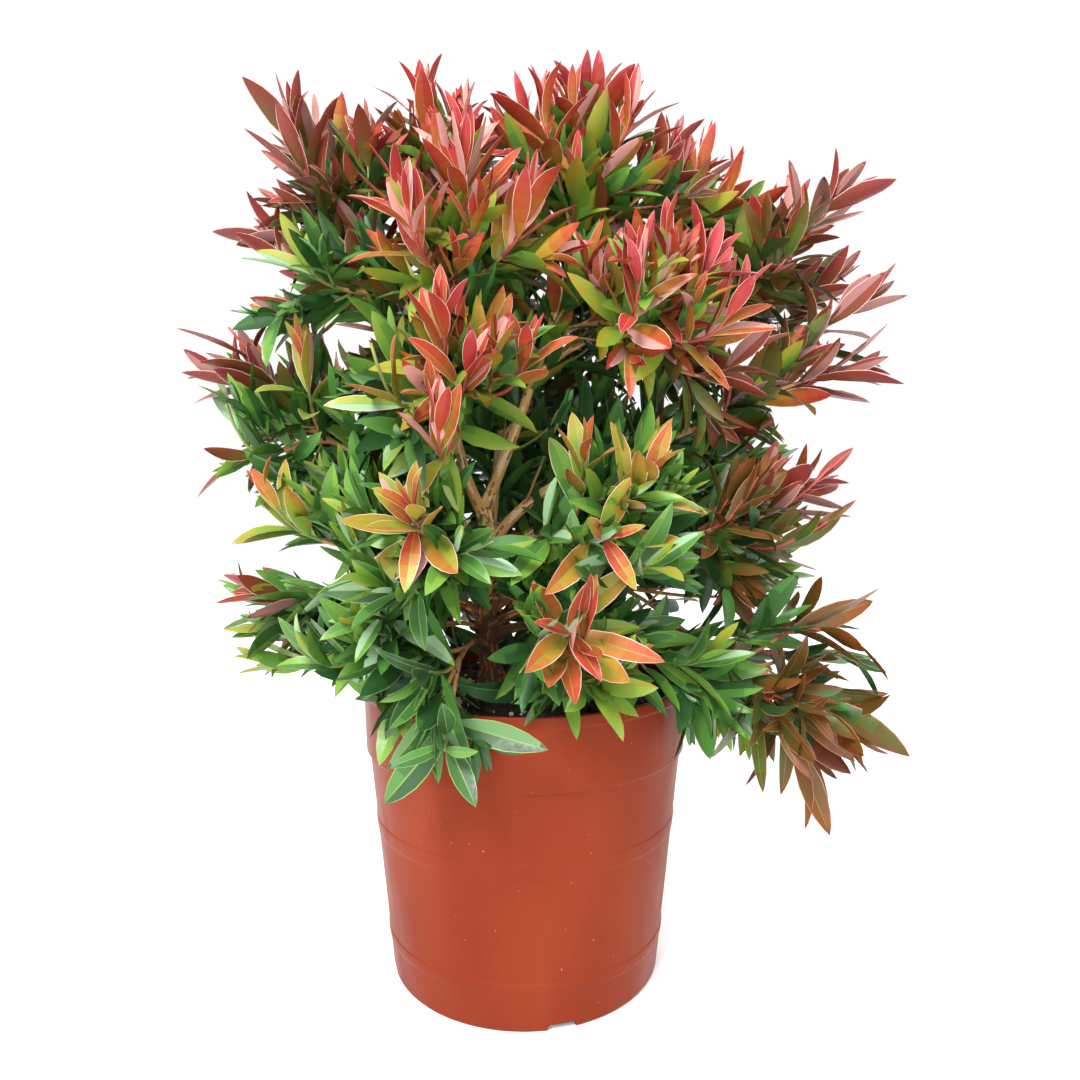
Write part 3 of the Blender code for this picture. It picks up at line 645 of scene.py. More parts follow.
def tone(tint, age, zone, zones, shift):
    low, high = tint.ages[age]
    place = low + (high - low) * zone / (zones - 1) + shift
    last = 2 * len(RUNS[tint.run]) - 2
    return f"{tint.run}_{max(0, min(last, round(2 * place)))}"


def leaf_colours(tint_name, age, zones, generator, shift):
    """A leaf's colours from foot to tip, one half and then the other, then its vein and rim."""
    tint = TINTS[tint_name]
    shift += generator.gauss(0, TINT_SCATTER)
    apart = generator.gauss(0, HALF_SCATTER)
    halves = [
        [tone(tint, age, zone, zones, shift + turn * apart) for zone in range(zones)]
        for turn in (-1, 1)
    ]
    # Silky hairs and painted sheen: the inner zones of one half, or of both, take the pale silk colour as a
    # painted highlight
    if age < OLD and generator.random() < tint.silky:
        silky = halves if generator.random() < BOTH_SILKY_SHEEN else [generator.choice(halves)]
        for half in silky:
            half[1:-1] = [tint.silk] * (zones - 2)
    names = halves[0] + halves[1]
    if age == OLD:
        return (*names, "fire_3", names[0])
    return (*names, tint.vein, tint.rim)


def grown_tip(path, growth, lift):
    """A shoot's path with a little more growth at its tip, turned up to the light."""
    heading = heading_at(path, 1.0)
    bends = [(heading + UP * 1.6 * lift * step).normalized() for step in (1, 2, 3)]
    longer = list(path)
    for bend in bends:
        longer.append(longer[-1] + bend * growth / 3)
    return longer


def in_photo(point):
    """Where a point shows in the photograph, in pixels."""
    away = Matrix.Rotation(CAMERA_PITCH, 3, "X") @ (point - CAMERA_PLACE)
    scale = PHOTO_SIDE * CAMERA_LENS_MM / SENSOR_MM / away.y
    return PHOTO_SIDE / 2 + away.x * scale, PHOTO_SIDE / 2 - away.z * scale


def gap_share(points):
    """The share of the leaves at these points that a gap in the foliage takes away."""
    share = 0
    for point in points:
        x, y = in_photo(point)
        for gap in GAPS:
            across, upward = (x - gap.middle[0]) / gap.reach[0], (y - gap.middle[1]) / gap.reach[1]
            deep = gap.depths[0] < point.y < gap.depths[1]
            if deep and across * across + upward * upward < 1:
                share = max(share, gap.share)
    return share


def leaves_on(
    path, count, tint, generator, forms, bins, vigour=1.0, oldest_first=0, lift=LIFT, opening=10
):
    """Leaves up one shoot: upright and young at the tip, leaning out and older behind."""
    widest = 60 + 0.7 * (opening - 10)
    total = length_of(path)
    angle = generator.uniform(0, math.tau)
    shift = generator.gauss(0, 0.35)
    for index in range(count):
        angle += GOLDEN_ANGLE + generator.gauss(0, 0.08)
        back = (0.06 + 0.25 * index + 0.016 * index * index) * CM
        if back > total * 0.94:
            break
        share = 1 - back / total
        root = point_at(path, share)
        heading = (heading_at(path, share) + UP * lift).normalized()
        side = heading.orthogonal().normalized()
        out = side * math.cos(angle) + heading.cross(side) * math.sin(angle)
        lean = math.radians(min(opening + 4.0 * index, widest) + generator.gauss(0, 7))
        along = heading * math.cos(lean) + out * math.sin(lean)
        along = (along - UP * generator.uniform(0, 0.010) * index).normalized()
        normal = heading * math.sin(lean) - out * math.cos(lean)
        normal = normal + UP * 0.45 + along.cross(normal) * generator.gauss(0, 0.25)
        normal = (normal - along * normal.dot(along)).normalized()
        grown = min(1.0, 0.50 + 0.115 * index)
        length = LEAF_LENGTH * vigour * grown * generator.uniform(0.84, 1.12)
        age = max(a for a, start in enumerate(AGE_STARTS) if index + oldest_first >= start)
        fine = index < FINE_LEAVES and (not oldest_first or index + oldest_first < 8)
        form = "fine" if fine else "plain"
        narrow = 0.72 + 0.28 * grown
        colours = leaf_colours(tint, age, forms[form].zones, generator, shift)
        leaf = Leaf(
            root, along, normal, length,
            length * LEAF_ASPECT * narrow * generator.uniform(0.86, 1.16),
            math.tan(math.radians(generator.uniform(8, 26) + 14 * (1 - grown))),
            math.radians(generator.uniform(-18, 40) - 10 * (1 - grown)),
            math.radians(generator.gauss(0, 14)),
            generator.uniform(0, 0.7),
            colours,
        )
        middle, tip = root + along * length * 0.5, root + along * length
        if generator.random() < gap_share((root, middle, tip)):
            continue
        if clear_of_pot(middle, 3 * MM) and clear_of_pot(tip, 3 * MM):
            bins[form].append(leaf)


def spray_path(spray, carrier):
    """The path of a spray, from its mass's limb to its tip."""
    tip = Vector(spray.tip) * CM
    start = min(carrier[8:-3], key=lambda point: abs((point - tip).length - 6 * CM))
    length = (tip - start).length
    way = Vector(spray.way).normalized()
    first = start + (tip - start + UP * 0.01).normalized() * length * 0.3
    return bezier(start, first, tip - way * length * 0.4, tip)


def leaves_along(path, tint, generator, forms, bins):
    """Old leaves set singly up the outer part of a bough."""
    total = length_of(path)
    angle = generator.uniform(0, math.tau)
    place = 0.42 * total
    while place < total:
        share = place / total
        heading = (heading_at(path, share) + UP * 0.3).normalized()
        side = heading.orthogonal().normalized()
        out = side * math.cos(angle) + heading.cross(side) * math.sin(angle)
        lean = math.radians(generator.uniform(42, 68))
        along = heading * math.cos(lean) + out * math.sin(lean)
        normal = (heading * math.sin(lean) - out * math.cos(lean) + UP * 0.4).normalized()
        normal = (normal - along * normal.dot(along)).normalized()
        length = LEAF_LENGTH * generator.uniform(0.85, 1.15)
        age = OLD if share < 0.75 or tint == "green" else OLD - 1
        leaf = Leaf(
            point_at(path, share), along, normal, length,
            length * LEAF_ASPECT * generator.uniform(0.9, 1.15),
            math.tan(math.radians(generator.uniform(8, 26))),
            math.radians(generator.uniform(-10, 30)),
            math.radians(generator.gauss(0, 14)),
            generator.uniform(0, 0.5),
            leaf_colours(tint, age, forms["plain"].zones, generator, 0),
        )
        ends = (leaf.root, leaf.root + along * length * 0.5, leaf.root + along * length)
        if all(clear_of_pot(end, 3 * MM) for end in ends) and not gap_share(ends):
            bins["plain"].append(leaf)
        angle += GOLDEN_ANGLE
        place += BOUGH_LEAF_STEP * generator.uniform(0.7, 1.3)


def leaf_points(leaves, form):
    """Every point of these leaves, bent, folded and twisted into place."""
    def column(field):
        return np.array([getattr(leaf, field) for leaf in leaves])[:, None]

    length, width, fold, bend, twist, wave = (
        column(field) for field in ("length", "width", "fold", "bend", "twist", "wave")
    )
    along = form.along[None]
    x = form.across[None] * width / 2
    z = np.abs(x) * fold - form.under[None] * KEEL_DEPTH + form.swell[None] * BLADE_SWELL
    z = z + np.sin(along * 9 + wave * 12) * np.abs(x) * wave * 0.14
    turn = twist * along
    x, z = x * np.cos(turn) - z * np.sin(turn), x * np.sin(turn) + z * np.cos(turn)
    bend = np.where(np.abs(bend) < 1e-3, 1e-3, bend)
    angle = bend * along
    y = length * np.sin(angle) / bend + z * np.sin(angle)
    z = z * np.cos(angle) - length * (1 - np.cos(angle)) / bend
    root, ahead, normal = (
        np.array([tuple(getattr(leaf, field)) for leaf in leaves])
        for field in ("root", "along", "normal")
    )
    side = np.cross(ahead, normal)
    return (
        root[:, None]
        + x[..., None] * side[:, None]
        + y[..., None] * ahead[:, None]
        + z[..., None] * normal[:, None]
    )


# ---- meshes ----


class Build:
    """Points and faces of one mesh, gathered in arrays."""

    def __init__(self):
        self.points, self.corners, self.sides, self.slots = [], [], [], []
        self.count = 0

    def add(self, points, corners, sides, slots):
        self.points.append(np.asarray(points, float).reshape(-1, 3))
        self.corners.append(np.asarray(corners).reshape(-1) + self.count)
        self.sides.append(np.asarray(sides).reshape(-1))
        self.slots.append(np.asarray(slots).reshape(-1))
        self.count += len(self.points[-1])

    def mesh(self, name, materials):
        points = np.concatenate(self.points)
        corners = np.concatenate(self.corners)
        sides = np.concatenate(self.sides)
        slots = np.concatenate(self.slots)
        used = np.unique(slots)
        mesh = bpy.data.meshes.new(name)
        mesh.vertices.add(len(points))
        mesh.vertices.foreach_set("co", points.astype(np.float32).reshape(-1))
        mesh.loops.add(len(corners))
        mesh.loops.foreach_set("vertex_index", corners.astype(np.int32))
        mesh.polygons.add(len(sides))
        starts = np.concatenate([[0], np.cumsum(sides)[:-1]])
        mesh.polygons.foreach_set("loop_start", starts.astype(np.int32))
        mesh.polygons.foreach_set("material_index", np.searchsorted(used, slots).astype(np.int32))
        for slot in used:
            mesh.materials.append(materials[slot])
        mesh.update(calc_edges=True)
        mesh.validate()
        mesh.shade_smooth()
        return mesh


def add_object(name, mesh):
    obj = bpy.data.objects.new(name, mesh)
    bpy.context.scene.collection.objects.link(obj)
    return obj


def add_leaves(build, leaves, form, slot_of):
    points = leaf_points(leaves, form)
    count = len(form.along)
    offsets = np.arange(len(leaves))[:, None] * count
    corners = form.corners[None] + offsets
    sides = np.tile(form.sides, len(leaves))
    table = np.array([[slot_of[name] for name in leaf.colours] for leaf in leaves])
    build.add(points, corners, sides, table[:, form.keys])


def rings_along(path, step):
    """Points a step apart along a path, with a frame that doesn't turn round it."""
    count = max(3, int(length_of(path) / step) + 1)
    shares = np.linspace(0, 1, count)
    points = [point_at(path, share) for share in shares]
    side = heading_at(path, 0).orthogonal().normalized()
    frames = []
    for share in shares:
        heading = heading_at(path, share)
        side = (side - heading * side.dot(heading)).normalized()
        frames.append((side, heading.cross(side)))
    return shares, points, frames


def add_tube(build, path, radius_at, sides, step, slot_at, relief=None):
    """A closed tube along a path. relief moves a point out, and slot_at picks a face's slot.

    Both get the point's place on the limb: across it in metres, then up it.
    """
    shares, points, frames = rings_along(path, step)
    total = length_of(path)
    rows, places = [], []
    for share, point, (side, other) in zip(shares, points, frames):
        radius = radius_at(share)
        for index in range(sides):
            angle = math.tau * index / sides
            across, over = math.cos(angle), math.sin(angle)
            place = Vector((across * radius, over * radius, share * total))
            out = side * across + other * over
            raised = relief(point + out * radius, place, radius) if relief else 0
            rows.append(tuple(point + out * (radius + raised)))
            places.append(place)
    rings = len(shares)
    corners, slots = [], []
    for ring in range(rings - 1):
        for index in range(sides):
            after = (index + 1) % sides
            here, there = ring * sides, (ring + 1) * sides
            corners += [here + index, here + after, there + after, there + index]
            slots.append(slot_at(places[here + index], shares[ring]))
    counts = [4] * len(slots) + [sides, sides]
    corners += list(range(sides - 1, -1, -1))
    corners += list(range((rings - 1) * sides, rings * sides))
    slots += [slots[0], slots[-1]]
    build.add(rows, corners, counts, slots)


# ---- materials ----


def new_material(name, colour, roughness, noise_scale, roughness_spread, bump, bump_distance):
    """A plain base colour with a mottled roughness and a fine bump."""
    material = bpy.data.materials.new(name)
    material.use_nodes = True
    nodes, links = material.node_tree.nodes, material.node_tree.links
    shader = nodes["Principled BSDF"]
    shader.inputs["Base Color"].default_value = linear_colour(colour)
    place = nodes.new("ShaderNodeTexCoord")
    mottle = nodes.new("ShaderNodeTexNoise")
    mottle.inputs["Scale"].default_value = noise_scale
    mottle.inputs["Detail"].default_value = 3
    spread = nodes.new("ShaderNodeMapRange")
    spread.inputs["From Min"].default_value = 0.3
    spread.inputs["From Max"].default_value = 0.7
    spread.inputs["To Min"].default_value = roughness - roughness_spread
    spread.inputs["To Max"].default_value = roughness + roughness_spread
    relief = nodes.new("ShaderNodeBump")
    relief.inputs["Strength"].default_value = bump
    relief.inputs["Distance"].default_value = bump_distance
    links.new(place.outputs["Object"], mottle.inputs["Vector"])
    links.new(mottle.outputs["Fac"], spread.inputs["Value"])
    links.new(spread.outputs["Result"], shader.inputs["Roughness"])
    links.new(mottle.outputs["Fac"], relief.inputs["Height"])
    links.new(relief.outputs["Normal"], shader.inputs["Normal"])
    return material


def leaf_materials(shades):
    materials = []
    for name, colour in shades.items():
        # The silk colours, silky hairs with a painted sheen, are a little rougher
        soft = name.startswith("silk")
        glossy = colour[1] > colour[0]
        roughness = 0.50 if soft else 0.40
        material = new_material(f"leaf_{name}", colour, roughness, 420, 0.08, 0.0, 0.3 * MM)
        shader = material.node_tree.nodes["Principled BSDF"]
        shader.inputs["Specular IOR Level"].default_value = 0.36 if glossy else 0.25
        materials.append(material)
    return materials


# ---- pieces ----


def inner_radius(height):
    """The pot's inner radius, straight from its floor to its band and on to the rim."""
    return np.interp(height, [h for h, _ in INSIDE], [r for _, r in INSIDE])


def body_radius(height):
    """The pot's outer radius below its band."""
    share = height / (POT_HEIGHT - BAND_HEIGHT)
    return FOOT_RADIUS + (BODY_TOP_RADIUS - FOOT_RADIUS) * share


def eased(points, radius, steps=4):
    """A profile with each corner eased off by an arc that starts radius short of it."""
    out = [Vector(points[0])]
    for before, corner, after in zip(points, points[1:], points[2:]):
        before, corner, after = Vector(before), Vector(corner), Vector(after)
        reach_in = min(radius, (before - corner).length * 0.45)
        reach_out = min(radius, (after - corner).length * 0.45)
        first = corner + (before - corner).normalized() * reach_in
        last = corner + (after - corner).normalized() * reach_out
        for step in range(steps + 1):
            t = step / steps
            out.append(first * (1 - t) ** 2 + corner * 2 * t * (1 - t) + last * t * t)
    return out + [Vector(points[-1])]


def pot_outer_profile():
    """(radius, height) down the outside, from the rim to the foot."""
    band_foot = POT_HEIGHT - BAND_HEIGHT
    bead_foot = POT_HEIGHT - BEAD_HEIGHT
    points = [
        (RIM_RADIUS + BEAD_PROUD, POT_HEIGHT),
        (RIM_RADIUS + BEAD_PROUD, bead_foot + 0.4 * MM),
        (RIM_RADIUS, bead_foot - 0.4 * MM),
        (BAND_FOOT_RADIUS, band_foot + 0.6 * MM),
        (BODY_TOP_RADIUS, band_foot - 0.6 * MM),
    ]
    for top, foot in HOOPS:
        points += [
            (body_radius(top), top + 0.4 * MM),
            (body_radius(top) + HOOP_PROUD, top - 0.4 * MM),
            (body_radius(foot) + HOOP_PROUD, foot + 0.4 * MM),
            (body_radius(foot), foot - 0.4 * MM),
        ]
    return points + [(FOOT_RADIUS, FOOT_CHAMFER), (FOOT_RADIUS - FOOT_CHAMFER, 0)]


def turned(name, profile, turns):
    """A closed mesh turned round Z from (radius, height) points between two on the axis."""
    bm = bmesh.new()
    corners = [bm.verts.new((radius, 0, height)) for radius, height in profile]
    edges = [bm.edges.new(pair) for pair in zip(corners, corners[1:])]
    bmesh.ops.spin(
        bm, geom=corners + edges, cent=(0, 0, 0), axis=(0, 0, 1),
        angle=math.tau, steps=turns, use_merge=True,
    )
    bmesh.ops.remove_doubles(bm, verts=bm.verts, dist=0.01 * MM)
    bmesh.ops.recalc_face_normals(bm, faces=bm.faces)
    mesh = bpy.data.meshes.new(name)
    bm.to_mesh(mesh)
    bm.free()
    return add_object(name, mesh)


def cut(obj, cutter):
    """Takes the cutter out of obj, and then the cutter out of the scene."""
    modifier = obj.modifiers.new("cut", "BOOLEAN")
    modifier.operation = "DIFFERENCE"
    modifier.object = cutter
    bpy.context.view_layer.update()
    evaluated = obj.evaluated_get(bpy.context.evaluated_depsgraph_get())
    mesh = bpy.data.meshes.new_from_object(evaluated)
    obj.modifiers.clear()
    obj.data = mesh
    bpy.data.objects.remove(cutter)


def pot_cutters():
    """The notches in the lower edge and the drain holes, as one mesh."""
    bm = bmesh.new()
    for index in range(NOTCH_COUNT):
        turn = Matrix.Rotation(NOTCH_AZIMUTH + index * math.tau / NOTCH_COUNT, 4, "Z")
        place = turn @ Matrix.Translation((0, -FOOT_RADIUS, 0))
        notch = bmesh.ops.create_cube(bm, size=1, matrix=place @ Matrix.Diagonal((*NOTCH_SIZE, 1)))
        upright = [
            edge for edge in {edge for corner in notch["verts"] for edge in corner.link_edges}
            if all(corner.co.z > 0 for corner in edge.verts)
        ]
        bmesh.ops.bevel(bm, geom=upright, offset=1.2 * MM, segments=3, affect="EDGES")
        bmesh.ops.create_cone(
            bm, cap_ends=True, segments=32, depth=6 * WALL, radius1=DRAIN_RADIUS,
            radius2=DRAIN_RADIUS, matrix=turn @ Matrix.Translation((0, -DRAIN_CIRCLE, 0)),
        )
    mesh = bpy.data.meshes.new("cutters")
    bm.to_mesh(mesh)
    bm.free()
    return add_object("cutters", mesh)


def pot_material():
    """Moulded plastic: faint streaks and scuffs in its colour and gloss."""
    material = bpy.data.materials.new("terracotta_plastic")
    material.use_nodes = True
    nodes, links = material.node_tree.nodes, material.node_tree.links
    shader = nodes["Principled BSDF"]
    place = nodes.new("ShaderNodeTexCoord")
    stretch = nodes.new("ShaderNodeMapping")
    stretch.inputs["Scale"].default_value = (1, 1, 0.35)
    links.new(place.outputs["Object"], stretch.inputs["Vector"])

    def pattern(scale, detail, vector):
        node = nodes.new("ShaderNodeTexNoise")
        node.inputs["Scale"].default_value = scale
        node.inputs["Detail"].default_value = detail
        links.new(vector, node.inputs["Vector"])
        return node.outputs["Fac"]

    def ramp(value, stops):
        node = nodes.new("ShaderNodeValToRGB")
        while len(node.color_ramp.elements) < len(stops):
            node.color_ramp.elements.new(0.5)
        for element, (position, colour) in zip(node.color_ramp.elements, stops):
            element.position = position
            element.color = colour
        links.new(value, node.inputs["Fac"])
        return node.outputs["Color"]

    def grey(level):
        return (level, level, level, 1)

    streaks = ramp(
        pattern(22, 5, stretch.outputs["Vector"]),
        ((0.30, linear_colour((124, 46, 25))), (0.55, linear_colour((132, 52, 28))),
         (0.78, linear_colour((139, 59, 35)))),
    )
    specks = ramp(pattern(420, 2, place.outputs["Object"]), ((0.755, grey(0)), (0.785, grey(1))))
    dusted = nodes.new("ShaderNodeMix")
    dusted.data_type = "RGBA"
    dusted.inputs[7].default_value = linear_colour((206, 140, 112))
    links.new(specks, dusted.inputs[0])
    links.new(streaks, dusted.inputs[6])
    links.new(dusted.outputs[2], shader.inputs["Base Color"])
    gloss = ramp(
        pattern(60, 6, stretch.outputs["Vector"]), ((0.35, grey(0.30)), (0.7, grey(0.46)))
    )
    links.new(gloss, shader.inputs["Roughness"])
    relief = nodes.new("ShaderNodeBump")
    relief.inputs["Strength"].default_value = 0.12
    relief.inputs["Distance"].default_value = 0.6 * MM
    links.new(pattern(140, 4, stretch.outputs["Vector"]), relief.inputs["Height"])
    links.new(relief.outputs["Normal"], shader.inputs["Normal"])
    shader.inputs["Specular IOR Level"].default_value = 0.05
    return material


def make_pot():
    inside = [(0, WALL)] + [(radius, height) for height, radius in INSIDE]
    profile = eased(inside + pot_outer_profile(), 0.9 * MM) + [Vector((0, 0))]
    pot = turned("nursery_pot", profile, POT_TURNS)
    cut(pot, pot_cutters())
    pot.data.shade_smooth()
    pot.data.set_sharp_from_angle(angle=math.radians(40))
    pot.data.materials.clear()
    pot.data.materials.append(pot_material())
    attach(pot, "root")
    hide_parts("pot")


def compost_height(x, y):
    """The lumpy top of the compost."""
    out = math.hypot(x, y)
    edge = float(inner_radius(COMPOST_EDGE))
    base = np.interp(out, (COMPOST_FLAT_RADIUS, edge), (COMPOST_TOP, COMPOST_EDGE))
    lumps = noise.fractal(Vector((x, y, 0)) / (9 * MM), 0.7, 2.1, 4)
    return float(base) + lumps * 1.6 * MM - 0.8 * MM


def compost_mesh():
    rings, turns = 46, 150
    edge = float(inner_radius(COMPOST_EDGE)) - 0.3 * MM
    points = [(0, 0, compost_height(0, 0))]
    for ring in range(1, rings + 1):
        for index in range(turns):
            angle = math.tau * index / turns
            x, y = math.cos(angle) * edge * ring / rings, math.sin(angle) * edge * ring / rings
            points.append((x, y, compost_height(x, y)))
    floor = WALL + 0.3 * MM
    bottom = float(inner_radius(floor)) - 0.3 * MM
    points += [
        (math.cos(math.tau * i / turns) * bottom, math.sin(math.tau * i / turns) * bottom, floor)
        for i in range(turns)
    ]
    faces = [(0, 1 + i, 1 + (i + 1) % turns) for i in range(turns)]
    for ring in range(rings):
        low, high = 1 + ring * turns, 1 + (ring + 1) * turns
        faces += [
            (low + i, high + i, high + (i + 1) % turns, low + (i + 1) % turns)
            for i in range(turns)
        ]
    faces.append(tuple(1 + rings * turns + i for i in range(turns - 1, -1, -1)))
    mesh = bpy.data.meshes.new("peat")
    mesh.from_pydata(points, [], faces)
    mesh.shade_smooth()
    return mesh


def add_grains(build, count, sizes, generator, slots, lift):
    """Angular grains lying on the compost."""
    bm = bmesh.new()
    bmesh.ops.create_icosphere(bm, subdivisions=1, radius=1)
    bm.verts.ensure_lookup_table()
    points = np.array([tuple(corner.co) for corner in bm.verts])
    faces = np.array([[corner.index for corner in face.verts] for face in bm.faces])
    bm.free()
    edge = float(inner_radius(COMPOST_EDGE)) - 4 * MM
    for _ in range(count):
        out, angle = edge * math.sqrt(generator.random()), generator.uniform(0, math.tau)
        x, y = out * math.cos(angle), out * math.sin(angle)
        size = generator.uniform(*sizes) * MM
        turn = Matrix.Rotation(generator.uniform(0, math.tau), 3, generator_axis(generator))
        stretch = np.array([generator.uniform(0.6, 1.3) for _ in range(3)])
        rough = np.array([generator.uniform(0.75, 1.2) for _ in points])[:, None]
        grain = (points * rough * stretch * size) @ np.array(turn).T
        centre = np.array((x, y, compost_height(x, y) + size * lift))
        slot = generator.choice(slots)
        build.add(grain + centre, faces, [3] * len(faces), [slot] * len(faces))


def generator_axis(generator):
    return Vector([generator.gauss(0, 1) for _ in range(3)]).normalized()


def make_compost():
    generator = random.Random("compost")
    peat = new_material("peat", (58, 44, 36), 0.94, 500, 0.04, 0.9, 1.5 * MM)
    crumb = new_material("crumb", (84, 60, 44), 0.92, 600, 0.04, 0.8, 1.0 * MM)
    perlite = new_material("perlite", (226, 222, 214), 0.85, 800, 0.05, 0.7, 0.6 * MM)
    top = add_object("peat", compost_mesh())
    top.data.materials.append(peat)
    grains = Build()
    add_grains(grains, 900, (0.7, 2.6), generator, (0, 0, 1), 0.25)
    crumbs = add_object("peat_crumbs", grains.mesh("peat_crumbs", (peat, crumb)))
    grains = Build()
    add_grains(grains, 130, (0.7, 1.9), generator, (0,), 0.45)
    white = add_object("perlite", grains.mesh("perlite", (perlite,)))
    for piece in (top, crumbs, white):
        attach(piece, "root")
    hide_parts("compost")


def bark_relief(place, on_limb, radius):
    """Flaky ridges that run up the limb."""
    grain = Vector((on_limb.x, on_limb.y, on_limb.z * 0.12))
    ridges = noise.fractal(grain / (1.4 * MM), 0.6, 2.0, 3)
    swell = noise.noise(place / (11 * MM))
    return min(radius, 5 * MM) * (0.11 * ridges + 0.10 * swell)


def bark_slot(on_limb):
    """Light flakes, tan bark and dark cracks, all drawn out along the limb."""
    grain = Vector((on_limb.x, on_limb.y, on_limb.z * 0.06))
    value = noise.fractal(grain / (1.2 * MM), 0.6, 2.0, 3)
    if value > 0.22:
        return 2
    return 1 if value > -0.40 else 0


def slots_up(path):
    """What picks the bark of a limb: painted shade, darker near the compost, lighter above."""
    def slot_at(on_limb, share):
        grain = Vector((on_limb.x, on_limb.y, on_limb.z * 0.06)) / (2 * MM)
        height = point_at(path, share).z - COMPOST_TOP + 1.2 * CM * noise.noise(grain)
        slot = bark_slot(on_limb)
        # Painted shade: near the compost the bark takes its darkest tones, and one step darker in a band above
        if height < PAINTED_SHADE_FOOT:
            return (3, 3, 0)[slot]
        return (3, 0, 1)[slot] if height < PAINTED_SHADE_FOOT + 2.4 * CM else slot

    return slot_at


def make_limbs(limbs, entries):
    """The trunk and the boughs, with the relief of their bark."""
    build = Build()

    def flared(place, on_limb, radius):
        angle = math.atan2(place.y - TRUNK_FOOT.y, place.x - TRUNK_FOOT.x)
        foot = max(0.0, 1 - (place.z - TRUNK_FOOT.z) / FLARE_HEIGHT)
        lobes = radius * 0.20 * foot * math.cos(angle * 4 + 0.6)
        return bark_relief(place, on_limb, radius) + lobes

    trunk = limbs[TRUNK]
    add_tube(build, trunk.path, trunk.radius, 32, 0.7 * MM, slots_up(trunk.path), flared)
    for mass in MASSES:
        limb = limbs[mass.name]
        last = entries[mass.name]
        path = part_of(limb.path, 0, min(1, last + 0.04))
        sides = 16 if mass.bough else 12

        def radius_at(share, limb=limb, last=last):
            collar = 1 + 0.5 * max(0.0, 1 - share * 9) ** 2
            return limb.radius(share * last) * collar

        add_tube(build, path, radius_at, sides, 1.1 * MM, slots_up(path), bark_relief)
    materials = (
        new_material("bark_crack", (166, 108, 60), 0.90, 700, 0.05, 0.7, 0.6 * MM),
        new_material("bark_tan", (238, 182, 112), 0.84, 700, 0.08, 0.7, 0.6 * MM),
        new_material("bark_flake", (255, 226, 168), 0.80, 700, 0.08, 0.7, 0.6 * MM),
        # The darkest bark is painted shade for the foot of the limbs under the foliage
        new_material("bark_damp", (104, 70, 46), 0.92, 700, 0.05, 0.7, 0.6 * MM),
    )
    bark = add_object("bark", build.mesh("bark", materials))
    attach(bark, "root")
    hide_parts(TRUNK, *[f"bough_{mass.name}" for mass in MASSES if mass.bough])


def grow(limbs, entries, forms):
    """Every shoot, twig and leaf, by the tint of the mass that it belongs to."""
    leaves = {name: {"fine": [], "plain": []} for name in {mass.tint: None for mass in MASSES}}
    stems = []
    for mass in MASSES:
        generator = random.Random(mass.name)
        limb, entry = limbs[mass.name], entries[mass.name]
        leader = part_of(limb.path, entry, 1)
        shoots = [leader] + side_shoots(mass, limb.path, entry, generator)
        bins = leaves[mass.tint]
        habit = HABITS.get(mass.name, Habit(LIFT))
        lift = habit.lift
        tints = SHOOT_TINTS.get(mass.name, SHOOT_TINTS[mass.tint])
        for path, tint in zip(shoots, tints):
            if not all(clear_of_pot(point, 3 * MM) for point in path[8:]):
                continue
            if path is not leader and gap_share(path[-1:]):
                continue
            grown = grown_tip(path, generator.uniform(*habit.growths) * CM, lift)
            if not gap_share(grown[-1:]):
                path = grown
            stems.append((path, STEM_RADIUS, TIP_RADIUS, tint))
            leaves_on(
                path, habit.leaves, tint, generator, forms, bins, habit.vigour, lift=lift
            )
            age = TWIG_AGES.get(tint, LATE_TWIG_AGE)
            for twig in twigs_of(path, habit.twigs, generator, (2.0, 3.8), (0.1, 0.7)):
                if gap_share((twig[-1], twig[PATH_STEPS // 2])):
                    continue
                stems.append((twig, 0.9 * MM, 0.5 * MM, tint))
                leaves_on(twig, TWIG_LEAVES, tint, generator, forms, bins, 0.9, age, lift)
        for spray in SPRAYS:
            if spray.mass == mass.name:
                path = spray_path(spray, limb.path)
                stems.append((path, STEM_RADIUS, TIP_RADIUS, spray.tint))
                leaves_on(
                    path, spray.leaves, spray.tint, generator, forms, bins, spray.vigour,
                    lift=0, opening=spray.opening,
                )
        if mass.bough:
            bare = part_of(limb.path, 0, entry)
            leaves_along(bare, mass.tint, generator, forms, bins)
            count = int(length_of(bare) / SPRIG_STEP)
            for twig in twigs_of(bare, count, generator, (3.0, 6.5), (0.22, 1.0), 0.5):
                if gap_share([twig[-1]]):
                    continue
                stems.append((twig, 0.9 * MM, 0.5 * MM, "green"))
                tint = generator.choice(("green", "green", "olive"))
                age = 7
                if twig[-1].z > YOUNG_HEIGHT:
                    tint, age = mass.tint, 4
                leaves_on(twig, SPRIG_LEAVES, tint, generator, forms, leaves["green"], 1, age)
    return leaves, stems


def within_reach(leaves, lowest, highest):
    """The leaves whose tips stay inside the solids' box, or stand a little proud of it."""
    kept = []
    for leaf in leaves:
        tip = leaf.root + leaf.along * leaf.length
        if all(
            low - REACH_ALLOWANCE < value < high + REACH_ALLOWANCE
            for low, value, high in zip(lowest, tip, highest)
        ):
            kept.append(leaf)
    return kept


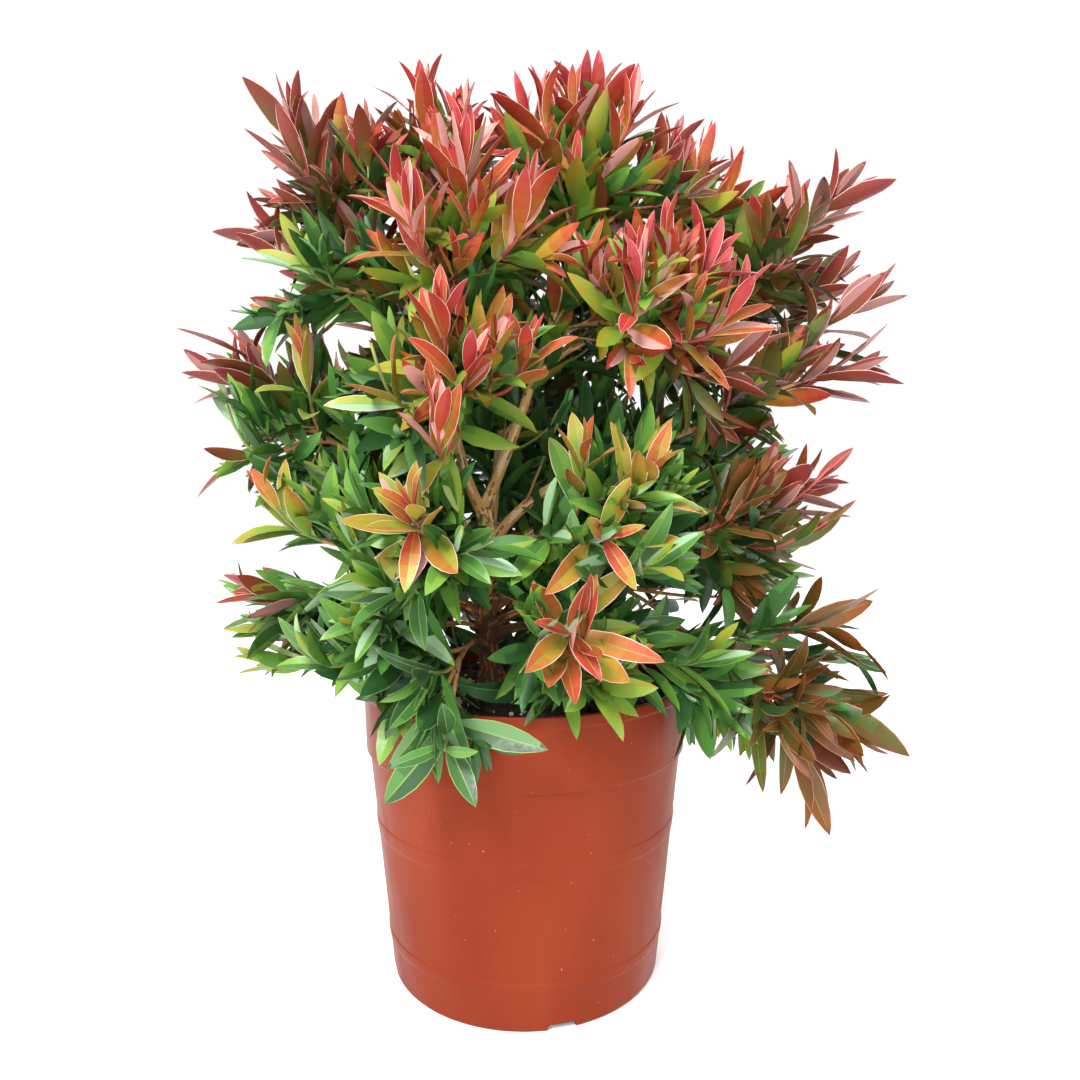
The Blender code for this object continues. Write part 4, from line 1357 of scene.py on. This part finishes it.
def make_stems(stems):
    """Shoots and twigs: bark where they are old, red or green where they are young."""
    build = Build()
    red = ("crimson", "bronze", "tawny", "amber")
    for path, foot_radius, tip_radius, tint in stems:
        total = length_of(path)

        def slot_at(_place, share, total=total, tint=tint):
            if (1 - share) * total > 3.2 * CM:
                return 0
            return 1 if tint in red else 2

        def radius_at(share, foot_radius=foot_radius, tip_radius=tip_radius):
            return foot_radius + (tip_radius - foot_radius) * share

        add_tube(build, path, radius_at, 6, 4 * MM, slot_at)
    materials = (
        new_material("twig_bark", (206, 152, 98), 0.80, 900, 0.08, 0.8, 0.5 * MM),
        new_material("twig_red", (178, 74, 66), 0.50, 900, 0.08, 0.4, 0.3 * MM),
        new_material("twig_green", (128, 138, 70), 0.52, 900, 0.08, 0.4, 0.3 * MM),
    )
    twigs = add_object("twigs", build.mesh("twigs", materials))
    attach(twigs, "root")


def make_leaves(leaves, forms):
    """One piece for each tint, or more where it holds too many triangles for one."""
    shades = leaf_shades()
    slot_of = {name: index for index, name in enumerate(shades)}
    materials = leaf_materials(shades)
    for tint, bins in leaves.items():
        triangles = sum(len(found) * forms[form].triangles for form, found in bins.items())
        pieces = math.ceil(triangles / PIECE_TRIANGLES)
        for number in range(pieces):
            build = Build()
            for form, found in bins.items():
                share = found[number::pieces]
                if share:
                    add_leaves(build, share, forms[form], slot_of)
            name = f"leaves_{tint}" if pieces == 1 else f"leaves_{tint}_{number + 1}"
            mesh = build.mesh(name, materials)
            mesh.set_sharp_from_angle(angle=math.radians(62))
            piece = add_object(name, mesh)
            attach(piece, "root")
            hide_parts(*[f"foliage_{mass.name}" for mass in MASSES if mass.tint == tint])
            print(name, sum(len(face.vertices) - 2 for face in mesh.polygons), "triangles")


# ---- stage ----


def make_stage():
    """A pale floor, soft lights and the camera of the photograph."""
    mesh = bpy.data.meshes.new("floor")
    side = 12
    mesh.from_pydata([(-side, -side, 0), (side, -side, 0), (side, side, 0), (-side, side, 0)], [], [(0, 1, 2, 3)])
    floor = add_object("floor", mesh)
    pale = new_material("floor", (255, 255, 255), 0.9, 3, 0.02, 0.0, 1 * MM)
    pale.node_tree.nodes["Principled BSDF"].inputs["Base Color"].default_value = (0.97, 0.97, 0.97, 1)
    mesh.materials.append(pale)
    floor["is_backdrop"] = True
    scene = bpy.context.scene
    world = bpy.data.worlds.new("studio")
    world.use_nodes = True
    backdrop = world.node_tree.nodes["Background"]
    backdrop.inputs["Color"].default_value = (1, 1, 1, 1)
    backdrop.inputs["Strength"].default_value = 1.04
    scene.world = world
    for name, place, size, watts in (
        ("key", (-0.65, -1.3, 1.6), 0.7, 60),
        ("front", (0.1, -1.7, 0.7), 1.2, 19),
        ("fill", (1.4, -0.9, 0.9), 1.2, 2),
        ("back", (0.3, 1.5, 1.6), 1.4, 20),
    ):
        light = bpy.data.lights.new(name, "AREA")
        light.size = size
        light.energy = watts
        lamp = bpy.data.objects.new(name, light)
        lamp.location = place
        aim = Vector((0, 0, 0.28)) - Vector(place)
        lamp.rotation_euler = aim.to_track_quat("-Z", "Y").to_euler()
        scene.collection.objects.link(lamp)
    camera = bpy.data.cameras.new("camera")
    camera.sensor_width = SENSOR_MM
    camera.lens = CAMERA_LENS_MM
    camera.clip_start = 0.01
    holder = bpy.data.objects.new("camera", camera)
    holder.location = CAMERA_PLACE
    holder.rotation_euler = (math.pi / 2 - CAMERA_PITCH, 0, 0)
    scene.collection.objects.link(holder)
    scene.camera = holder
    scene.view_settings.view_transform = "Standard"
    scene.view_settings.look = "None"


def main():
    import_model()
    solid_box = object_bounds()
    limbs = lay_out_limbs()
    centres = {mass.name: point_at(limbs[mass.name].path, 0.86) for mass in MASSES}
    entries = {}
    for name, centre in centres.items():
        others = [at for key, at in centres.items() if key != name]
        entries[name] = entry_of(limbs[name].path, centre, others)
    forms = {
        "fine": LeafForm(FINE_STATIONS, *FINE_COLUMNS),
        "plain": LeafForm(PLAIN_STATIONS, *PLAIN_COLUMNS),
    }
    leaves, stems = grow(limbs, entries, forms)
    lowest, highest = solid_box
    for bins in leaves.values():
        for form in bins:
            bins[form] = within_reach(bins[form], lowest, highest)
    make_pot()
    make_compost()
    make_limbs(limbs, entries)
    make_stems(stems)
    make_leaves(leaves, forms)
    make_stage()
    boxes = {"solids": solid_box, "visual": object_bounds()}
    sizes = {name: [[float(v) for v in corner] for corner in box] for name, box in boxes.items()}


main()
